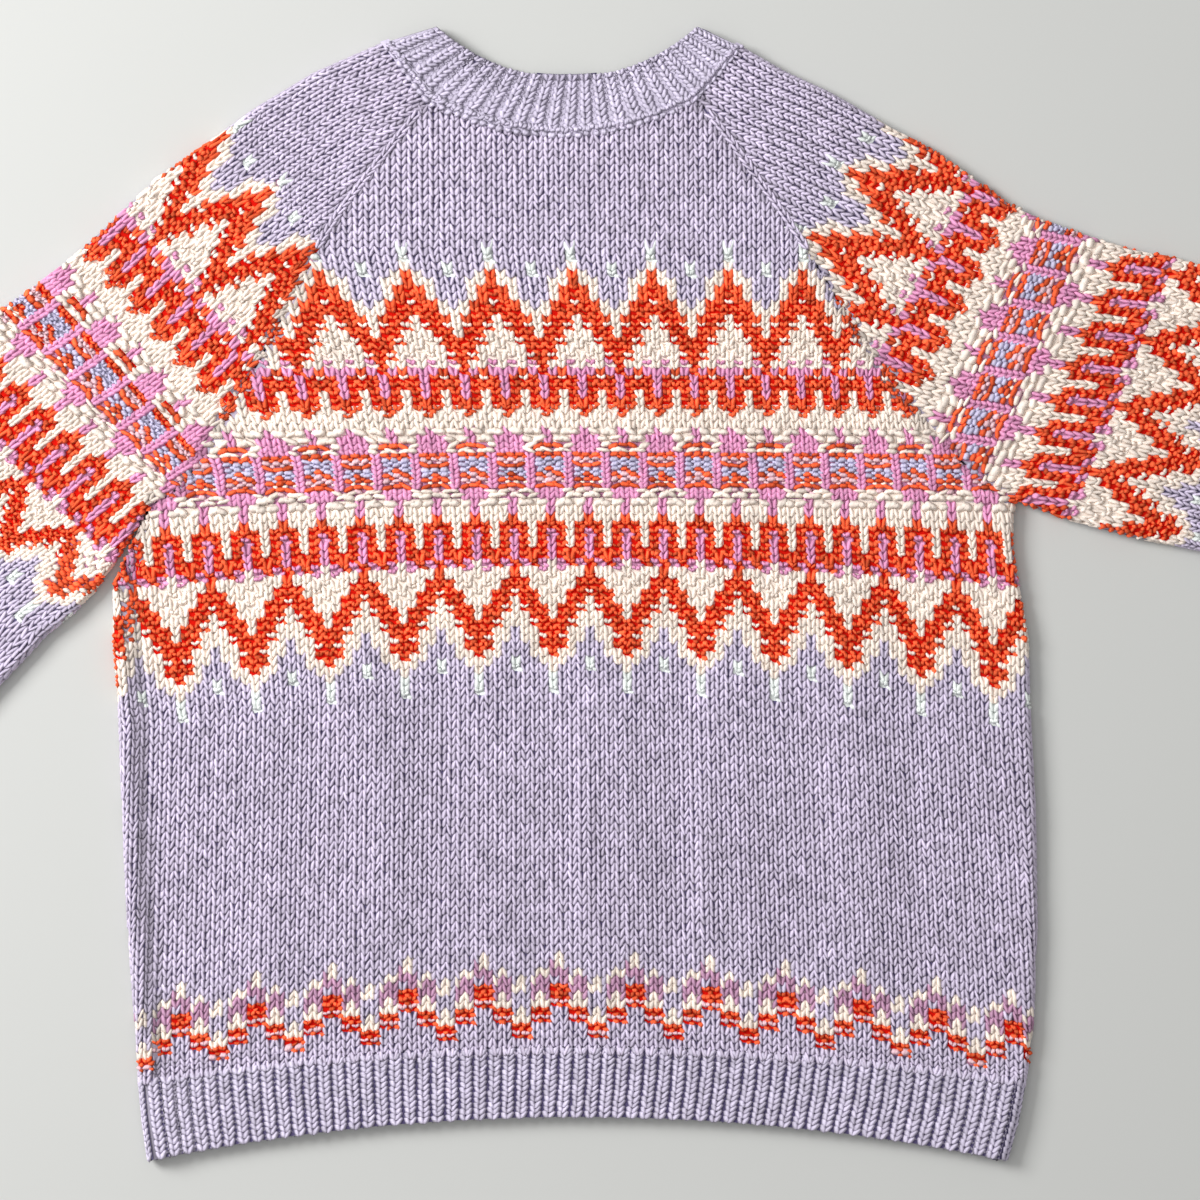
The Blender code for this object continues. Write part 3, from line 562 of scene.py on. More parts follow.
def model_shape(chosen, shape_it, own_uvs):
    """Shape the chosen points of the primitive just added, and return its arrays."""
    piece = bpy.context.object
    bpy.ops.object.transform_apply(location=False, rotation=True, scale=True)
    bpy.ops.object.mode_set(mode="EDIT")
    bpy.ops.mesh.select_mode(type="VERT")
    bpy.ops.mesh.select_all(action="DESELECT")
    shape = bmesh.from_edit_mesh(piece.data)
    for vert in shape.verts:
        vert.select = chosen(vert.co)
    shape.select_flush(True)
    bmesh.update_edit_mesh(piece.data)
    shape_it()
    bpy.ops.object.mode_set(mode="OBJECT")
    mesh = piece.data
    places = np.array([vert.co[:] for vert in mesh.vertices])
    corners = np.array([loop.vertex_index for loop in mesh.loops])
    starts = np.array([face.loop_start for face in mesh.polygons])
    uvs = places[corners, :2] + 0.5
    if own_uvs:
        uvs = np.array([entry.uv[:] for entry in mesh.uv_layers[0].data])
    bpy.data.objects.remove(piece)
    return places, corners, starts, uvs


def model_strand():
    """Model one plump strand lying along Y, a unit long."""
    bpy.ops.object.select_all(action="DESELECT")
    bpy.ops.mesh.primitive_uv_sphere_add(segments=4, ring_count=3, radius=0.5,
                                         rotation=(math.pi / 2, 0, 0))
    return model_shape(lambda spot: abs(spot.y) < 0.49,
                       lambda: bpy.ops.transform.resize(value=(1.16, 1.12, 1.16)), True)


def model_flat_leg():
    """Model one leg of a stitch that is pressed flat."""
    bpy.ops.object.select_all(action="DESELECT")
    bpy.ops.mesh.primitive_circle_add(vertices=4, radius=0.5, fill_type="TRIFAN")
    return model_shape(lambda spot: spot.length < 0.1,
                       lambda: bpy.ops.transform.translate(value=(0.0, 0.0, 0.5)), False)


class Knitting:
    """Collects strands, and the ground between them, painted darker for the shade there, and joins
    them into one piece.
    """

    def __init__(self, strand, mirrored=False, flat=False):
        self.sizes = bpy.context.scene.jumper_stitches
        self.strand = strand
        self.side = -1.0 if mirrored else 1.0
        self.flat = flat
        self.relief = FLAT_RELIEF if flat else self.sizes.relief
        self.lift = 0.0 if flat else 0.55 * self.sizes.relief - self.sizes.sunk
        self.depth = 0.0 if flat else 0.30 * MM - self.sizes.sunk
        self.frames = []
        self.shapes = []
        self.yarn = []
        self.tones_and_shades = []
        self.backs = []
        self.count = 0
        self.chance = np.random.RandomState(SEED)

    def lay(self, frame, centre, size, lean, tilt, bow, yarn, part, wild=1.0):
        """One strand: its centre and size in the stitch's own axes."""
        uneven = self.sizes.unevenness * wild
        drift = np.clip(self.chance.normal(0.0, uneven, 6), -2.0 * uneven, 2.0 * uneven)
        self.frames.append(frame)
        self.shapes.append((
            centre[0] + 0.5 * size[0] * drift[0], centre[1] + 0.3 * size[1] * drift[1],
            (0.0 if self.flat else centre[2]) + self.lift,
            size[0] * (1.0 + drift[2]), size[1] * (1.0 + 0.7 * drift[3]),
            size[2] * self.relief * SHADES_AND_PLUMPNESS[yarn][3], lean + drift[4],
            0.0 if self.flat else tilt, bow, self.count, part))
        self.yarn.append(YARNS.index(yarn))
        speckle = CORAL_SPECKLE if yarn == "coral" else SPECKLE
        # A strand's tone differs at random, and it is painted darker the deeper it is sunk, for
        # the shade there.
        self.tones_and_shades.append((1.0 + speckle * drift[5] / wild)
                          * (1.0 + SUNK_SHADE * min(centre[2], 0.0) / MM))

    def stitch(self, place, column, row, cell, squash=1.0, raised=0.0, pitch=1.0):
        """One stitch. place gives the point in space of a column and row, as numbers."""
        kind, yarn, second, end = cell
        left, right = place(column - 0.5, row), place(column + 0.5, row)
        above, below = place(column, row - 0.5 * pitch), place(column, row + 0.5 * pitch)
        middle = place(column, row)
        if None in (left, right, above, below, middle):
            return
        across, along = (right - left) * self.side, above - below
        wide, high = across.length, along.length
        width = wide * squash
        tight = high < TIGHT_ROW * wide and yarn not in ("lilac", "rib")
        across.normalize()
        along.normalize()
        out = across.cross(along).normalized()
        upright = (*middle, *across, *along, *out)
        level = (*middle, *along, *-across, *out)
        if kind == KNIT:
            leg = self.sizes.leg_width * width * (1.0 + FULLER.get(yarn, 0.0))
            if tight or pitch < 1.0:
                leg *= TIGHT_LEG
            length = (self.sizes.leg_length + 0.9 * end) * high
            for part, side in enumerate((-1.0, 1.0)):
                self.lay(upright, (side * (LEG_APART + 0.04 * end) * width, 0.45 * end * high,
                                   raised + 0.3 * MM * end), (leg, length, 2.0),
                         side * (1.0 + end) * self.sizes.leg_lean * width / length, LEG_TILT,
                         side * LEG_BOW * width, second or yarn if part else yarn, part)
        elif kind == RIB:
            for part, (beside, lift, leg, length, plump, lean) in enumerate(RIB_LEGS):
                self.lay(upright, (beside * width * self.side, 0.0, raised + lift * MM),
                         (leg * width, length * high, plump),
                         lean * self.side * width / (length * high), RIB_TILT, 0.0, yarn, part)
        elif kind == PURL:
            bumps = "flat" if self.flat else "tight" if tight else "mixed" if second else "plain"
            for up, beside, lift, thick, length, plump, turn, bow, wild, part in BUMPS[bumps]:
                self.lay(level, (up * high, beside * width, raised + lift * MM),
                         (thick * high, length * width, plump), turn, 0.0, bow * high,
                         yarn if part else second or yarn, part, wild)
        elif second:
            self.lay(level, (second * abs(end) * 0.26 * high, 0.0, raised + STRAND_LIFT),
                     (0.90 * high, 1.25 * width, 1.8), -0.34 * second * end * self.side, 0.0,
                     -0.14 * high * second, yarn, 0)
        else:
            turn = 1.0 if (round(column) + round(row)) % 2 else -1.0
            self.lay(level, (0.08 * high * turn, 0.20 * width * turn, raised + STRAND_LIFT),
                     (0.92 * high, 1.42 * width, 2.0), 0.16 * turn, 0.0, -0.12 * high * turn,
                     yarn, 0, 1.8)
        # The patch of ground behind a stitch is painted shade: it takes a darker yarn, or its own
        # yarn's darker ground tone.
        behind = "orchid" if tight else GAP_SHADES.get(yarn, yarn)
        if yarn == "rib" and (squash == NECK_SHARE or pitch != 1.0):
            behind = "rib"
        self.backs.append((*middle, *(across * wide * PATCH), *(along * high * PATCH),
                           *(out * (self.depth + max(raised, PATCH_LOWEST))),
                           YARNS.index(behind), self.count))
        self.count += 1

    def strand_points(self):
        """Points in space of every strand, from its stitch's axes and its own shape."""
        places = self.strand[0]
        frames, shapes = np.array(self.frames), np.array(self.shapes)
        local = places[None, :, :] * shapes[:, None, 3:6]
        along = local[:, :, 1].copy()
        bend = 1.0 - (2.0 * places[None, :, 1]) ** 2
        local[:, :, 0] += shapes[:, 6:7] * along + shapes[:, 8:9] * bend + shapes[:, 0:1]
        local[:, :, 1] += shapes[:, 1:2]
        local[:, :, 2] += shapes[:, 7:8] * along + shapes[:, 2:3]
        return frames[:, None, 0:3] + sum(
            local[:, :, axis, None] * frames[:, None, 3 + 3 * axis:6 + 3 * axis]
            for axis in range(3))

    def layout(self, backs, signs):
        """A UV map that gives every strand and every patch of ground its own place."""
        corners, uvs = self.strand[1], self.strand[3]
        grid = math.ceil(math.sqrt(self.count))
        cells, parts = np.array(self.shapes)[:, 9:].T
        patch = np.empty((len(cells), len(corners), 2))
        patch[:, :, 0] = (cells % grid)[:, None] + (
            parts[:, None] + 0.05 + uvs[None, :, 0] * 0.9) / 2
        patch[:, :, 1] = (cells // grid)[:, None] + (0.05 + uvs[None, :, 1] * 0.9) / 2
        square = (signs + 1) / 2
        behind = np.empty((len(backs), 4, 2))
        behind[:, :, 0] = (backs[:, 13] % grid)[:, None] + 0.05 + square[None, :, 0] * 0.9
        behind[:, :, 1] = (backs[:, 13] // grid)[:, None] + 0.55 + square[None, :, 1] * 0.4
        return np.concatenate([patch.reshape(-1, 2), behind.reshape(-1, 2)]) / grid

    def finish(self, name, slot):
        """Join the strands into one piece that lies where it was knitted."""
        places, corners, starts, uvs = self.strand
        backs = np.array(self.backs)
        number = len(self.frames)
        signs = np.array(((-1, -1), (1, -1), (1, 1), (-1, 1)))
        quads = (backs[:, None, 0:3] + backs[:, None, 9:12]
                 + signs[None, :, 0:1] * backs[:, None, 3:6]
                 + signs[None, :, 1:2] * backs[:, None, 6:9])
        points = np.concatenate([self.strand_points().reshape(-1, 3), quads.reshape(-1, 3)])
        points[:, 2] = np.maximum(points[:, 2], 0.0)
        order = np.arange(number)[:, None]
        back_corners = np.arange(len(backs) * 4)
        indices = np.concatenate([(corners[None, :] + order * len(places)).reshape(-1),
                                  back_corners + number * len(places)])
        loop_starts = np.concatenate([(starts[None, :] + order * len(corners)).reshape(-1),
                                      back_corners[::4] + number * len(corners)])
        mesh = bpy.data.meshes.new(name)
        mesh.vertices.add(len(points))
        mesh.vertices.foreach_set("co", points.reshape(-1))
        mesh.loops.add(len(indices))
        mesh.loops.foreach_set("vertex_index", indices)
        mesh.polygons.add(len(loop_starts))
        mesh.polygons.foreach_set("loop_start", loop_starts)
        mesh.update(calc_edges=True)
        mesh.validate()
        back_yarn = backs[:, 12].astype(int)
        mesh.polygons.foreach_set("material_index", np.concatenate([
            np.repeat(np.array(self.yarn), len(starts)), back_yarn]))
        # Painted shade and highlight: each strand is painted darker at its sides and lighter along
        # its crest, and each patch of ground takes its yarn's darker tone, for the light and shade
        # over the knitting.
        tones_and_shades = np.array([SHADES_AND_PLUMPNESS[yarn] for yarn in YARNS])
        side, top = tones_and_shades[self.yarn, 1:3].T
        painted_shading = side[:, None] + (top - side)[:, None] * places[None, :, 2] * 2.0
        mesh.attributes.new("tone_and_shade", "FLOAT", "POINT").data.foreach_set("value", np.concatenate([
            (np.array(self.tones_and_shades)[:, None] * painted_shading).reshape(-1),
            np.repeat(tones_and_shades[back_yarn, 0], 4)]))
        twist = np.concatenate([np.tile(uvs, (number, 1)), np.zeros((len(back_corners), 2))])
        for title, layout in (("OFBake", self.layout(backs, signs)), ("Twist", twist)):
            mesh.uv_layers.new(name=title).uv.foreach_set("vector", layout.reshape(-1))
        mesh.shade_smooth()
        for material in yarns():
            mesh.materials.append(material)
        piece = bpy.data.objects.new(name, mesh)
        bpy.context.collection.objects.link(piece)
        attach(piece, ROOT)
        return piece


PLAIN = (KNIT, "lilac", None, 0)
RIB_KNIT = (RIB, "rib", None, 0)
RIB_PURL = (PURL, "rib", None, 0)


def letter(chart, row, column):
    """Kind and yarns of a chart's cell, and whether a strand ends at its left (-1) or right."""
    line = chart[row]
    sign = line[column % REPEAT]
    if sign in STRANDS:
        end = (line[(column - 1) % REPEAT] == sign) - (line[(column + 1) % REPEAT] == sign)
        return STRAND, *STRANDS[sign], end
    if sign in MIXED:
        return PURL, *MIXED[sign], 0
    if sign in SPLIT:
        return KNIT, *SPLIT[sign], 0
    if sign in TALL:
        return KNIT, TALL[sign], None, 1
    return (PURL if sign.isupper() else KNIT), CHART_YARNS[sign.lower()], None, 0


# ---------------------------------------------------------------- the back and the front

def back_rows():
    """Every row of the back: its y in the middle, its chart and its number in the chart."""
    border = len(BORDER_CHART)
    bands = ((CHART_TOP_Y, CHART_PITCH, None, range(-YOKE_PLAIN_ROWS, 0)),
             (CHART_TOP_Y, CHART_PITCH, YOKE_CHART, range(len(YOKE_CHART))),
             (WOVEN_TOP_Y, WOVEN_PITCH, WOVEN_CHART, range(len(WOVEN_CHART))),
             (LOWER_TOP_Y, CHART_PITCH, LOWER_CHART, range(len(LOWER_CHART))),
             (PLAIN_TOP_Y, PLAIN_PITCH, None, range(BODY_PLAIN_ROWS)),
             (BORDER_TOP_Y, BORDER_PITCH, BORDER_CHART, range(border)),
             (BORDER_TOP_Y, BORDER_PITCH, None, range(border, border + LAST_PLAIN_ROWS)))
    return [(top - pitch * number, chart, number)
            for top, pitch, chart, numbers in bands for number in numbers]


def column_width(y):
    """Width of a column of the back at a height, in millimetres."""
    return interpolate(y, COLUMN_Y, COLUMN_WIDTH)


class BackPlaces:
    """Places of the back's columns and rows, round the folds at its sides."""

    def __init__(self, form, rows):
        self.form = form
        self.heights = [row[0] for row in rows]
        self.numbers = list(range(len(rows)))

    def plan(self, column, row):
        """x and y of a column and row on the flat, in millimetres."""
        middle_y = interpolate(row, self.numbers, self.heights)
        if row < 0:
            middle_y = self.heights[0] - CHART_PITCH * row
        if row > self.numbers[-1]:
            middle_y = self.heights[-1] - BORDER_PITCH * (row - self.numbers[-1])
        x = interpolate(middle_y, COLUMN_Y, COLUMN_X)
        x += column * column_width(middle_y)
        x -= column ** 2 * interpolate(middle_y, COLUMN_Y, COLUMN_CROWD)
        drop = interpolate(middle_y, SAG_Y, SAG_LEFT if x < 0.0 else SAG_RIGHT)
        return x, middle_y - drop * (x / ROW_HALF_WIDTH) ** 2

    def edges(self, y):
        """The two edges of the back at a height, in millimetres."""
        return interpolate(y, EDGE_Y_LEFT, EDGE_X_LEFT), interpolate(y, EDGE_Y_RIGHT, EDGE_X_RIGHT)

    def point(self, column, row):
        """The point in space of a column and row, or None off the cloth."""
        x, y = self.plan(column, row)
        left, right = self.edges(y)
        return on_cloth(self.form, np.array((left, y)), SIDEWAYS, x - left, right - left,
                        y < ARMPIT_LEFT_Y, y < ARMPIT_RIGHT_Y)


def neck_seam_y(x):
    """y of the neck seam over the back at x, in millimetres."""
    share = (x - NECK_SEAM_MIDDLE[0]) / NECK_SEAM_END[0]
    return NECK_SEAM_MIDDLE[1] + NECK_SEAM_END[1] * share ** 2


def dip(off, wide):
    """Share of a groove's depth that a stitch lies down, at a distance from its middle."""
    return min(1.0, max(0.0, 1.2 - off / wide))


def back_cells(rows):
    """Every cell of the back's chart: its column, row and stitch."""
    for row, (_, chart, number) in enumerate(rows):
        shift = 0 if chart is BORDER_CHART else REPEAT // 2
        for column in BACK_COLUMNS:
            yield column, row, letter(chart, number, column + shift) if chart else PLAIN


def knit_back(form, strand):
    """Knit the back, and the strip of the front that comes round its left side."""
    rows = back_rows()
    places = BackPlaces(form, rows)
    parts = {"upper": Knitting(strand), "middle": Knitting(strand), "lower": Knitting(strand)}
    for column, row, cell in back_cells(rows):
        x, y = places.plan(column, row)
        left, right = places.edges(y)
        wide = column_width(y)
        margin = SEAM_MARGIN * wide
        low = left + (margin if y >= ARMPIT_LEFT_Y else FOLD - WRAP)
        high = right - (margin if y >= ARMPIT_RIGHT_Y else FOLD - WRAP)
        if low <= x <= high and y <= neck_seam_y(x) + NECK_SEAM_OVER:
            name = "upper" if y > UPPER_FROM_Y else "middle" if y > MIDDLE_FROM_Y else "lower"
            seam = left + interpolate(y, SIDE_SEAM_Y, SIDE_SEAM_IN) if y < ARMPIT_LEFT_Y else left
            off = abs(x - seam)
            if y >= ARMPIT_RIGHT_Y:
                off = min(off, right - x)
            hollow = x < 0.0 and abs(y - HOLLOW_Y) < HOLLOW_REACH
            deep = SIDE_GROOVE_DEPTH if hollow or y <= ARMPIT_LEFT_Y else GROOVE_DEPTH
            parts[name].stitch(places.point, column, row, cell,
                               raised=deep * dip(off, wide * (HOLLOW if hollow else GROOVE)))
    chain_seams(form, parts["upper"])
    return [part.finish("back_stitches_" + name, "fair_isle_knit") for name, part in parts.items()]


def chain_seams(form, part):
    """Work a chain of stitches up both raglan seams, as far as the plain knitting reaches."""
    for heights, edges in ((EDGE_Y_LEFT, EDGE_X_LEFT), (EDGE_Y_RIGHT, EDGE_X_RIGHT)):
        path = np.array([(interpolate(y, heights, edges), y)
                         for y in np.arange(292.0, CHAIN_LOW - 12.0, -4.0)])
        steps = np.linalg.norm(np.diff(path, axis=0), axis=1)
        run = np.concatenate([[0.0], np.cumsum(steps)])

        def point(column, row, path=path, run=run):
            spot, ahead, behind = [spot_at(row * CHAIN_PITCH + step, run, path)
                                   for step in (0.0, 2.0, -2.0)]
            along = ahead - behind
            side = np.array((-along[1], along[0])) / (np.linalg.norm(along) + 1e-9)
            x, y = (spot + side * column * CHAIN_WIDTH) * MM
            return Vector((x, y, form.height(x, y)))

        for row in range(1, int(run[-1] / CHAIN_PITCH)):
            if spot_at(row * CHAIN_PITCH, run, path)[1] > CHAIN_LOW:
                part.stitch(point, 0.0, row, PLAIN, 1.0, CHAIN_RAISED)


def knit_under(form, leg, name, slot, place, cells, node, mirrored):
    """Knit what lies on the table, pressed flat, wherever the node rests on it."""
    part = Knitting(leg, mirrored, flat=True)

    def flat(column, row):
        x, y = place(column, row)
        return Vector((x * MM, y * MM, FLAT_BASE))

    for column, row, cell, squash, pitch in cells:
        around = ((0.0, 0.0), (-0.5, 0.0), (0.5, 0.0), (0.0, -0.5 * pitch), (0.0, 0.5 * pitch))
        spots = [flat(column + step, row + rise) for step, rise in around]
        if all(form.below(spot.x, spot.y) == node for spot in spots):
            part.stitch(flat, column, row, cell, squash, 0.0, pitch)
    return part.finish(name, slot)


# ---------------------------------------------------------------- the sleeves

class SleevePlaces:
    """Places of a sleeve's columns, counted from its top fold, and rows."""

    def __init__(self, form, numbers, inner, outer, columns):
        self.form = form
        self.numbers = numbers
        self.sides = np.array(inner, float), np.array(outer, float)
        self.columns = np.array(columns)

    def row_ends(self, row):
        """Inner and outer end of a row, in millimetres."""
        return [spot_at(row, self.numbers, side) for side in self.sides]

    def reach(self, column, row):
        """Distance of a column from the top fold, in millimetres."""
        first, width = spot_at(row, self.columns[:, 0], self.columns[:, 1:])
        return first + (column - REPEAT // 2) * width, width

    def plan(self, column, row):
        """x and y of a column and row on the flat, in millimetres."""
        inner, outer = self.row_ends(row)
        across = (inner - outer) / np.linalg.norm(inner - outer)
        return outer + across * self.reach(column, row)[0]

    def point(self, column, row):
        """The point in space of a column and row, or None off the cloth."""
        inner, outer = self.row_ends(row)
        length = np.linalg.norm(inner - outer)
        return on_cloth(self.form, outer, (inner - outer) / length, self.reach(column, row)[0],
                        length, last=row > ARMPIT_ROW)


def sleeve_cells(last_row):
    """Every cell of a sleeve: its column, its row along the tables, its stitch and pitch."""
    step = (LOWER_FROM - WOVEN_FROM) / len(WOVEN_CHART)
    plain_from = LOWER_FROM + 0.5 + len(LOWER_CHART)
    bands = ((0.0, 1.0, None, range(-SLEEVE_PLAIN_ROWS, 0)),
             (0.0, 1.0, YOKE_CHART, range(len(YOKE_CHART))),
             (WOVEN_FROM + 0.5 * step, step, WOVEN_CHART, range(len(WOVEN_CHART))),
             (LOWER_FROM + 0.5, 1.0, LOWER_CHART, range(len(LOWER_CHART))),
             (plain_from, 1.0, None, range(int(last_row - plain_from) + 1)))
    for first, pitch, chart, numbers in bands:
        for number in numbers:
            for column in SLEEVE_COLUMNS:
                cell = letter(chart, number, column) if chart else PLAIN
                yield column, first + pitch * number, cell, pitch


def knit_sleeve(strand, name, places, last_row, mirrored):
    """Knit one sleeve, from the neck to its cuff."""
    part = Knitting(strand, mirrored)
    for column, row, cell, pitch in sleeve_cells(last_row):
        inner, outer = places.row_ends(row)
        length = np.linalg.norm(inner - outer)
        reach, width = places.reach(column, row)
        high = length - (SEAM_MARGIN * width if row <= ARMPIT_ROW else FOLD - WRAP)
        if FOLD - WRAP <= reach <= high:
            sunk = dip(length - reach, GROOVE * width) if row <= ARMPIT_ROW else 0.0
            part.stitch(places.point, column, row, cell, pitch=pitch, raised=GROOVE_DEPTH * sunk)
    return part.finish(name, "fair_isle_knit")


# ---------------------------------------------------------------- the ribs

def knit_rib(part, place, ribs, rows, share=RIB_SHARE, valley=RIB_VALLEY):
    """Knit a ribbed band: a column of knit stitches on every rib, and purl ones between."""
    for rib in ribs:
        for row in range(rows):
            part.stitch(place, rib, row, RIB_KNIT, share)
            part.stitch(place, rib + 0.5, row, RIB_PURL, 1.0 - share, valley)


def rib_cells(ribs, rows):
    """Every cell of a ribbed band that is pressed flat."""
    for rib in ribs:
        for row in range(rows):
            yield rib, row, RIB_KNIT, RIB_SHARE, 1.0
            yield rib + 0.5, row, RIB_PURL, 1.0 - RIB_SHARE, 1.0


def hem_place(form, ribs, rows):
    """Places on the hem's rib, seen from above."""
    def point(rib, row):
        share = (row + 0.5) / rows
        middle_y, edge_y, left, right = [interpolate(share, HALVES, line) for line in HEM_LINES]
        start = left + HEM_SEAM_IN
        x = start + (right - FOLD - start + QUARTER) * (rib + 0.5) / ribs
        half = (right - left) / 2.0
        bow = (min(abs(x - (left + right) / 2.0), half) / half) ** 2
        spot = np.array((left, middle_y - (middle_y - edge_y) * bow))
        return on_cloth(form, spot, SIDEWAYS, x - left, right - left, missing=EDGE_HEIGHT)
    return point


def cuff_place(form, table, ribs, rows):
    """Places on the upper half of a cuff."""
    ends = np.array(table, float)

    def point(rib, row):
        low, top = [spot_at((row + 0.5) / rows, HALVES, ends[:, end]) for end in (0, 1)]
        length = np.linalg.norm(top - low)
        span = length - 2.0 * FOLD + 2.0 * QUARTER
        reach = span * (rib + 0.5) / ribs - QUARTER + FOLD
        return on_cloth(form, low, (top - low) / length, reach, length, missing=EDGE_HEIGHT)
    return point


def seen_from_above(place):
    """x and y of a place, in millimetres."""
    def plan(column, row):
        point = place(column, row)
        return point.x / MM, point.y / MM
    return plan


def even_line(points):
    """A line resampled into even steps."""
    points = np.array(points, float)
    lengths = np.concatenate([[0.0], np.cumsum(np.linalg.norm(np.diff(points, axis=0), axis=1))])
    wanted = np.linspace(0.0, lengths[-1], NECK_STEPS + 1)
    return np.stack([np.interp(wanted, lengths, points[:, axis]) for axis in (0, 1)], axis=1)


def neck_plan(corners, seam_y, half_width, edge_y, ribs, rows, margin=0.0, least=0.0, most=1.0):
    """Places between the neck's seam and its free edge, in millimetres."""
    middle = [(x, seam_y(x)) for x in np.linspace(corners[1][0], corners[2][0], 41)]
    seam = even_line([corners[0], *middle, corners[3]])
    edge = even_line([(NECK_MIDDLE[0] + across * half_width, NECK_MIDDLE[1] - edge_y(across))
                      for across in -np.cos(np.linspace(0.0, math.pi, 81))])
    steps = np.arange(NECK_STEPS + 1)

    def plan(rib, row):
        index = min(max((rib + 0.5) / ribs, margin), 1.0 - margin) * NECK_STEPS
        low, top = spot_at(index, steps, seam), spot_at(index, steps, edge)
        return low + (top - low) * min(max(1.0 - (row + 0.5) / rows, least), most)
    return plan


def neck_place(form, ribs, rows):
    """Places on the back half of the neckband."""
    plan = neck_plan(
        NECK_SEAM, neck_seam_y, NECK_HALF_WIDTH + 3.0,
        lambda across: BACK_NECK_DEPTH * (1.0 - abs(across) ** BACK_NECK_POWER) - 2.0,
        ribs, rows, 0.004, -0.06, 0.97)

    def point(rib, row):
        return on_cloth(form, plan(rib, row), SIDEWAYS, 0.0, 0.0, False, False, NECK_EDGE_HEIGHT)
    return point


def front_neck_plan(ribs, rows):
    """Places on the front half of the neckband, in millimetres."""
    (left, side_y), (right, _) = FRONT_NECK_SEAM[1:3]
    return neck_plan(
        FRONT_NECK_SEAM,
        lambda x: FRONT_NECK_LOW + (side_y - FRONT_NECK_LOW) * (
            (2.0 * x - left - right) / (right - left)) ** 2,
        NECK_HALF_WIDTH, lambda across: FRONT_NECK_DEPTH * math.sqrt(max(1.0 - across ** 2, 0.0)),
        ribs, rows)


# ---------------------------------------------------------------- the ground cloth

def ground_cloth(node):
    """The cloth that a node's stitches are worked into: the node's form, sunk on top."""
    mesh = bmesh.new()
    mesh.from_mesh(frame["nodes"][node].data)
    bmesh.ops.remove_doubles(mesh, verts=mesh.verts, dist=1e-6)
    mesh.normal_update()
    sunk = bpy.context.scene.jumper_stitches.sunk
    tone_and_shade = mesh.verts.layers.float.new("tone_and_shade")
    for vert in mesh.verts:
        # painted shade: the cloth is painted darker, for the shade between the stitches
        vert[tone_and_shade] = CLOTH_SHADE
        if vert.co.z > TOP_ABOVE and vert.normal.z > 0.0:
            vert.co -= vert.normal * sunk
            if vert.normal.z > 0.5:
                vert.co.z -= (1.0 - vert.normal.z) * sunk
        elif vert.co.z < BOTTOM_BELOW:
            vert.co.z = CLOTH_BASE
    data = bpy.data.meshes.new(node + "_cloth")
    mesh.to_mesh(data)
    mesh.free()
    data.shade_smooth()
    data.materials.append(yarns()[YARNS.index("rib" if node in RIBBED else "lilac")])
    piece = bpy.data.objects.new(node + "_cloth", data)
    bpy.context.collection.objects.link(piece)
    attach(piece, ROOT)
    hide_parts(node)
    return piece


def declare_cloth(piece, node):
    """Reckon from a piece's area the length of cloth that it was cut to; the result is not kept.
    """
    width, length, under = CLOTH_SIZES[node]
    area = sum(face.area for face in piece.data.polygons) / 2.0     # one face of the wall
    length *= max(area / (width * length), 1.0)


# ---------------------------------------------------------------- operators

SHARED = {}


def shared():
    """The form and the two shapes that all pieces are knitted with."""
    if not SHARED:
        SHARED["made"] = Form(), model_strand(), model_flat_leg()
    return SHARED["made"]


class JUMPER_OT_stage(bpy.types.Operator):
    """Lay the floor, and set the lights and the camera"""

    bl_idname = "jumper.stage"
    bl_label = "Floor, lights and camera"

    def execute(self, context):
        settings = context.scene.jumper_studio
        bpy.ops.object.select_all(action="DESELECT")
        bpy.ops.mesh.primitive_plane_add(size=9.0, location=(0.0, 0.0, -0.4 * MM))
        floor = context.object
        floor.name = "floor"
        paint = bpy.data.materials.new("floor_paper")
        paint.use_nodes = True
        feed(paint.node_tree, paint.node_tree.nodes["Principled BSDF"],
             {"Base Color": (*settings.floor, 1.0), "Roughness": 0.9})
        floor.data.materials.append(paint)
        middle = Vector((13.75 * MM, 22.0 * MM, 0.0))
        for name, place, size, power in (
                ("key_light", (-1.745, 0.85, 1.41), 1.0, settings.key),
                ("fill_light", (-0.5, 0.2, 2.6), 2.6, settings.fill)):
            lamp = bpy.data.lights.new(name, "AREA")
            lamp.shape = "SQUARE"
            lamp.size = size
            lamp.energy = power
            holder = bpy.data.objects.new(name, lamp)
            holder.location = middle + Vector(place)
            holder.rotation_euler = (-Vector(place)).to_track_quat("-Z", "Y").to_euler()
            context.collection.objects.link(holder)
        world = bpy.data.worlds.new("studio")
        world.use_nodes = True
        feed(world.node_tree, world.node_tree.nodes["Background"],
             {"Color": (1.0, 1.0, 1.0, 1.0), "Strength": 0.35})
        context.scene.world = world
        context.scene.view_settings.view_transform = "Standard"
        lens = bpy.data.cameras.new("camera")
        lens.sensor_width = 36.0
        lens.lens = lens.sensor_width * (settings.height - 6.0 * MM) / settings.field
        camera = bpy.data.objects.new("camera", lens)
        camera.location = middle + Vector((0.0, 0.0, settings.height))
        context.collection.objects.link(camera)
        context.scene.camera = camera
        return {"FINISHED"}


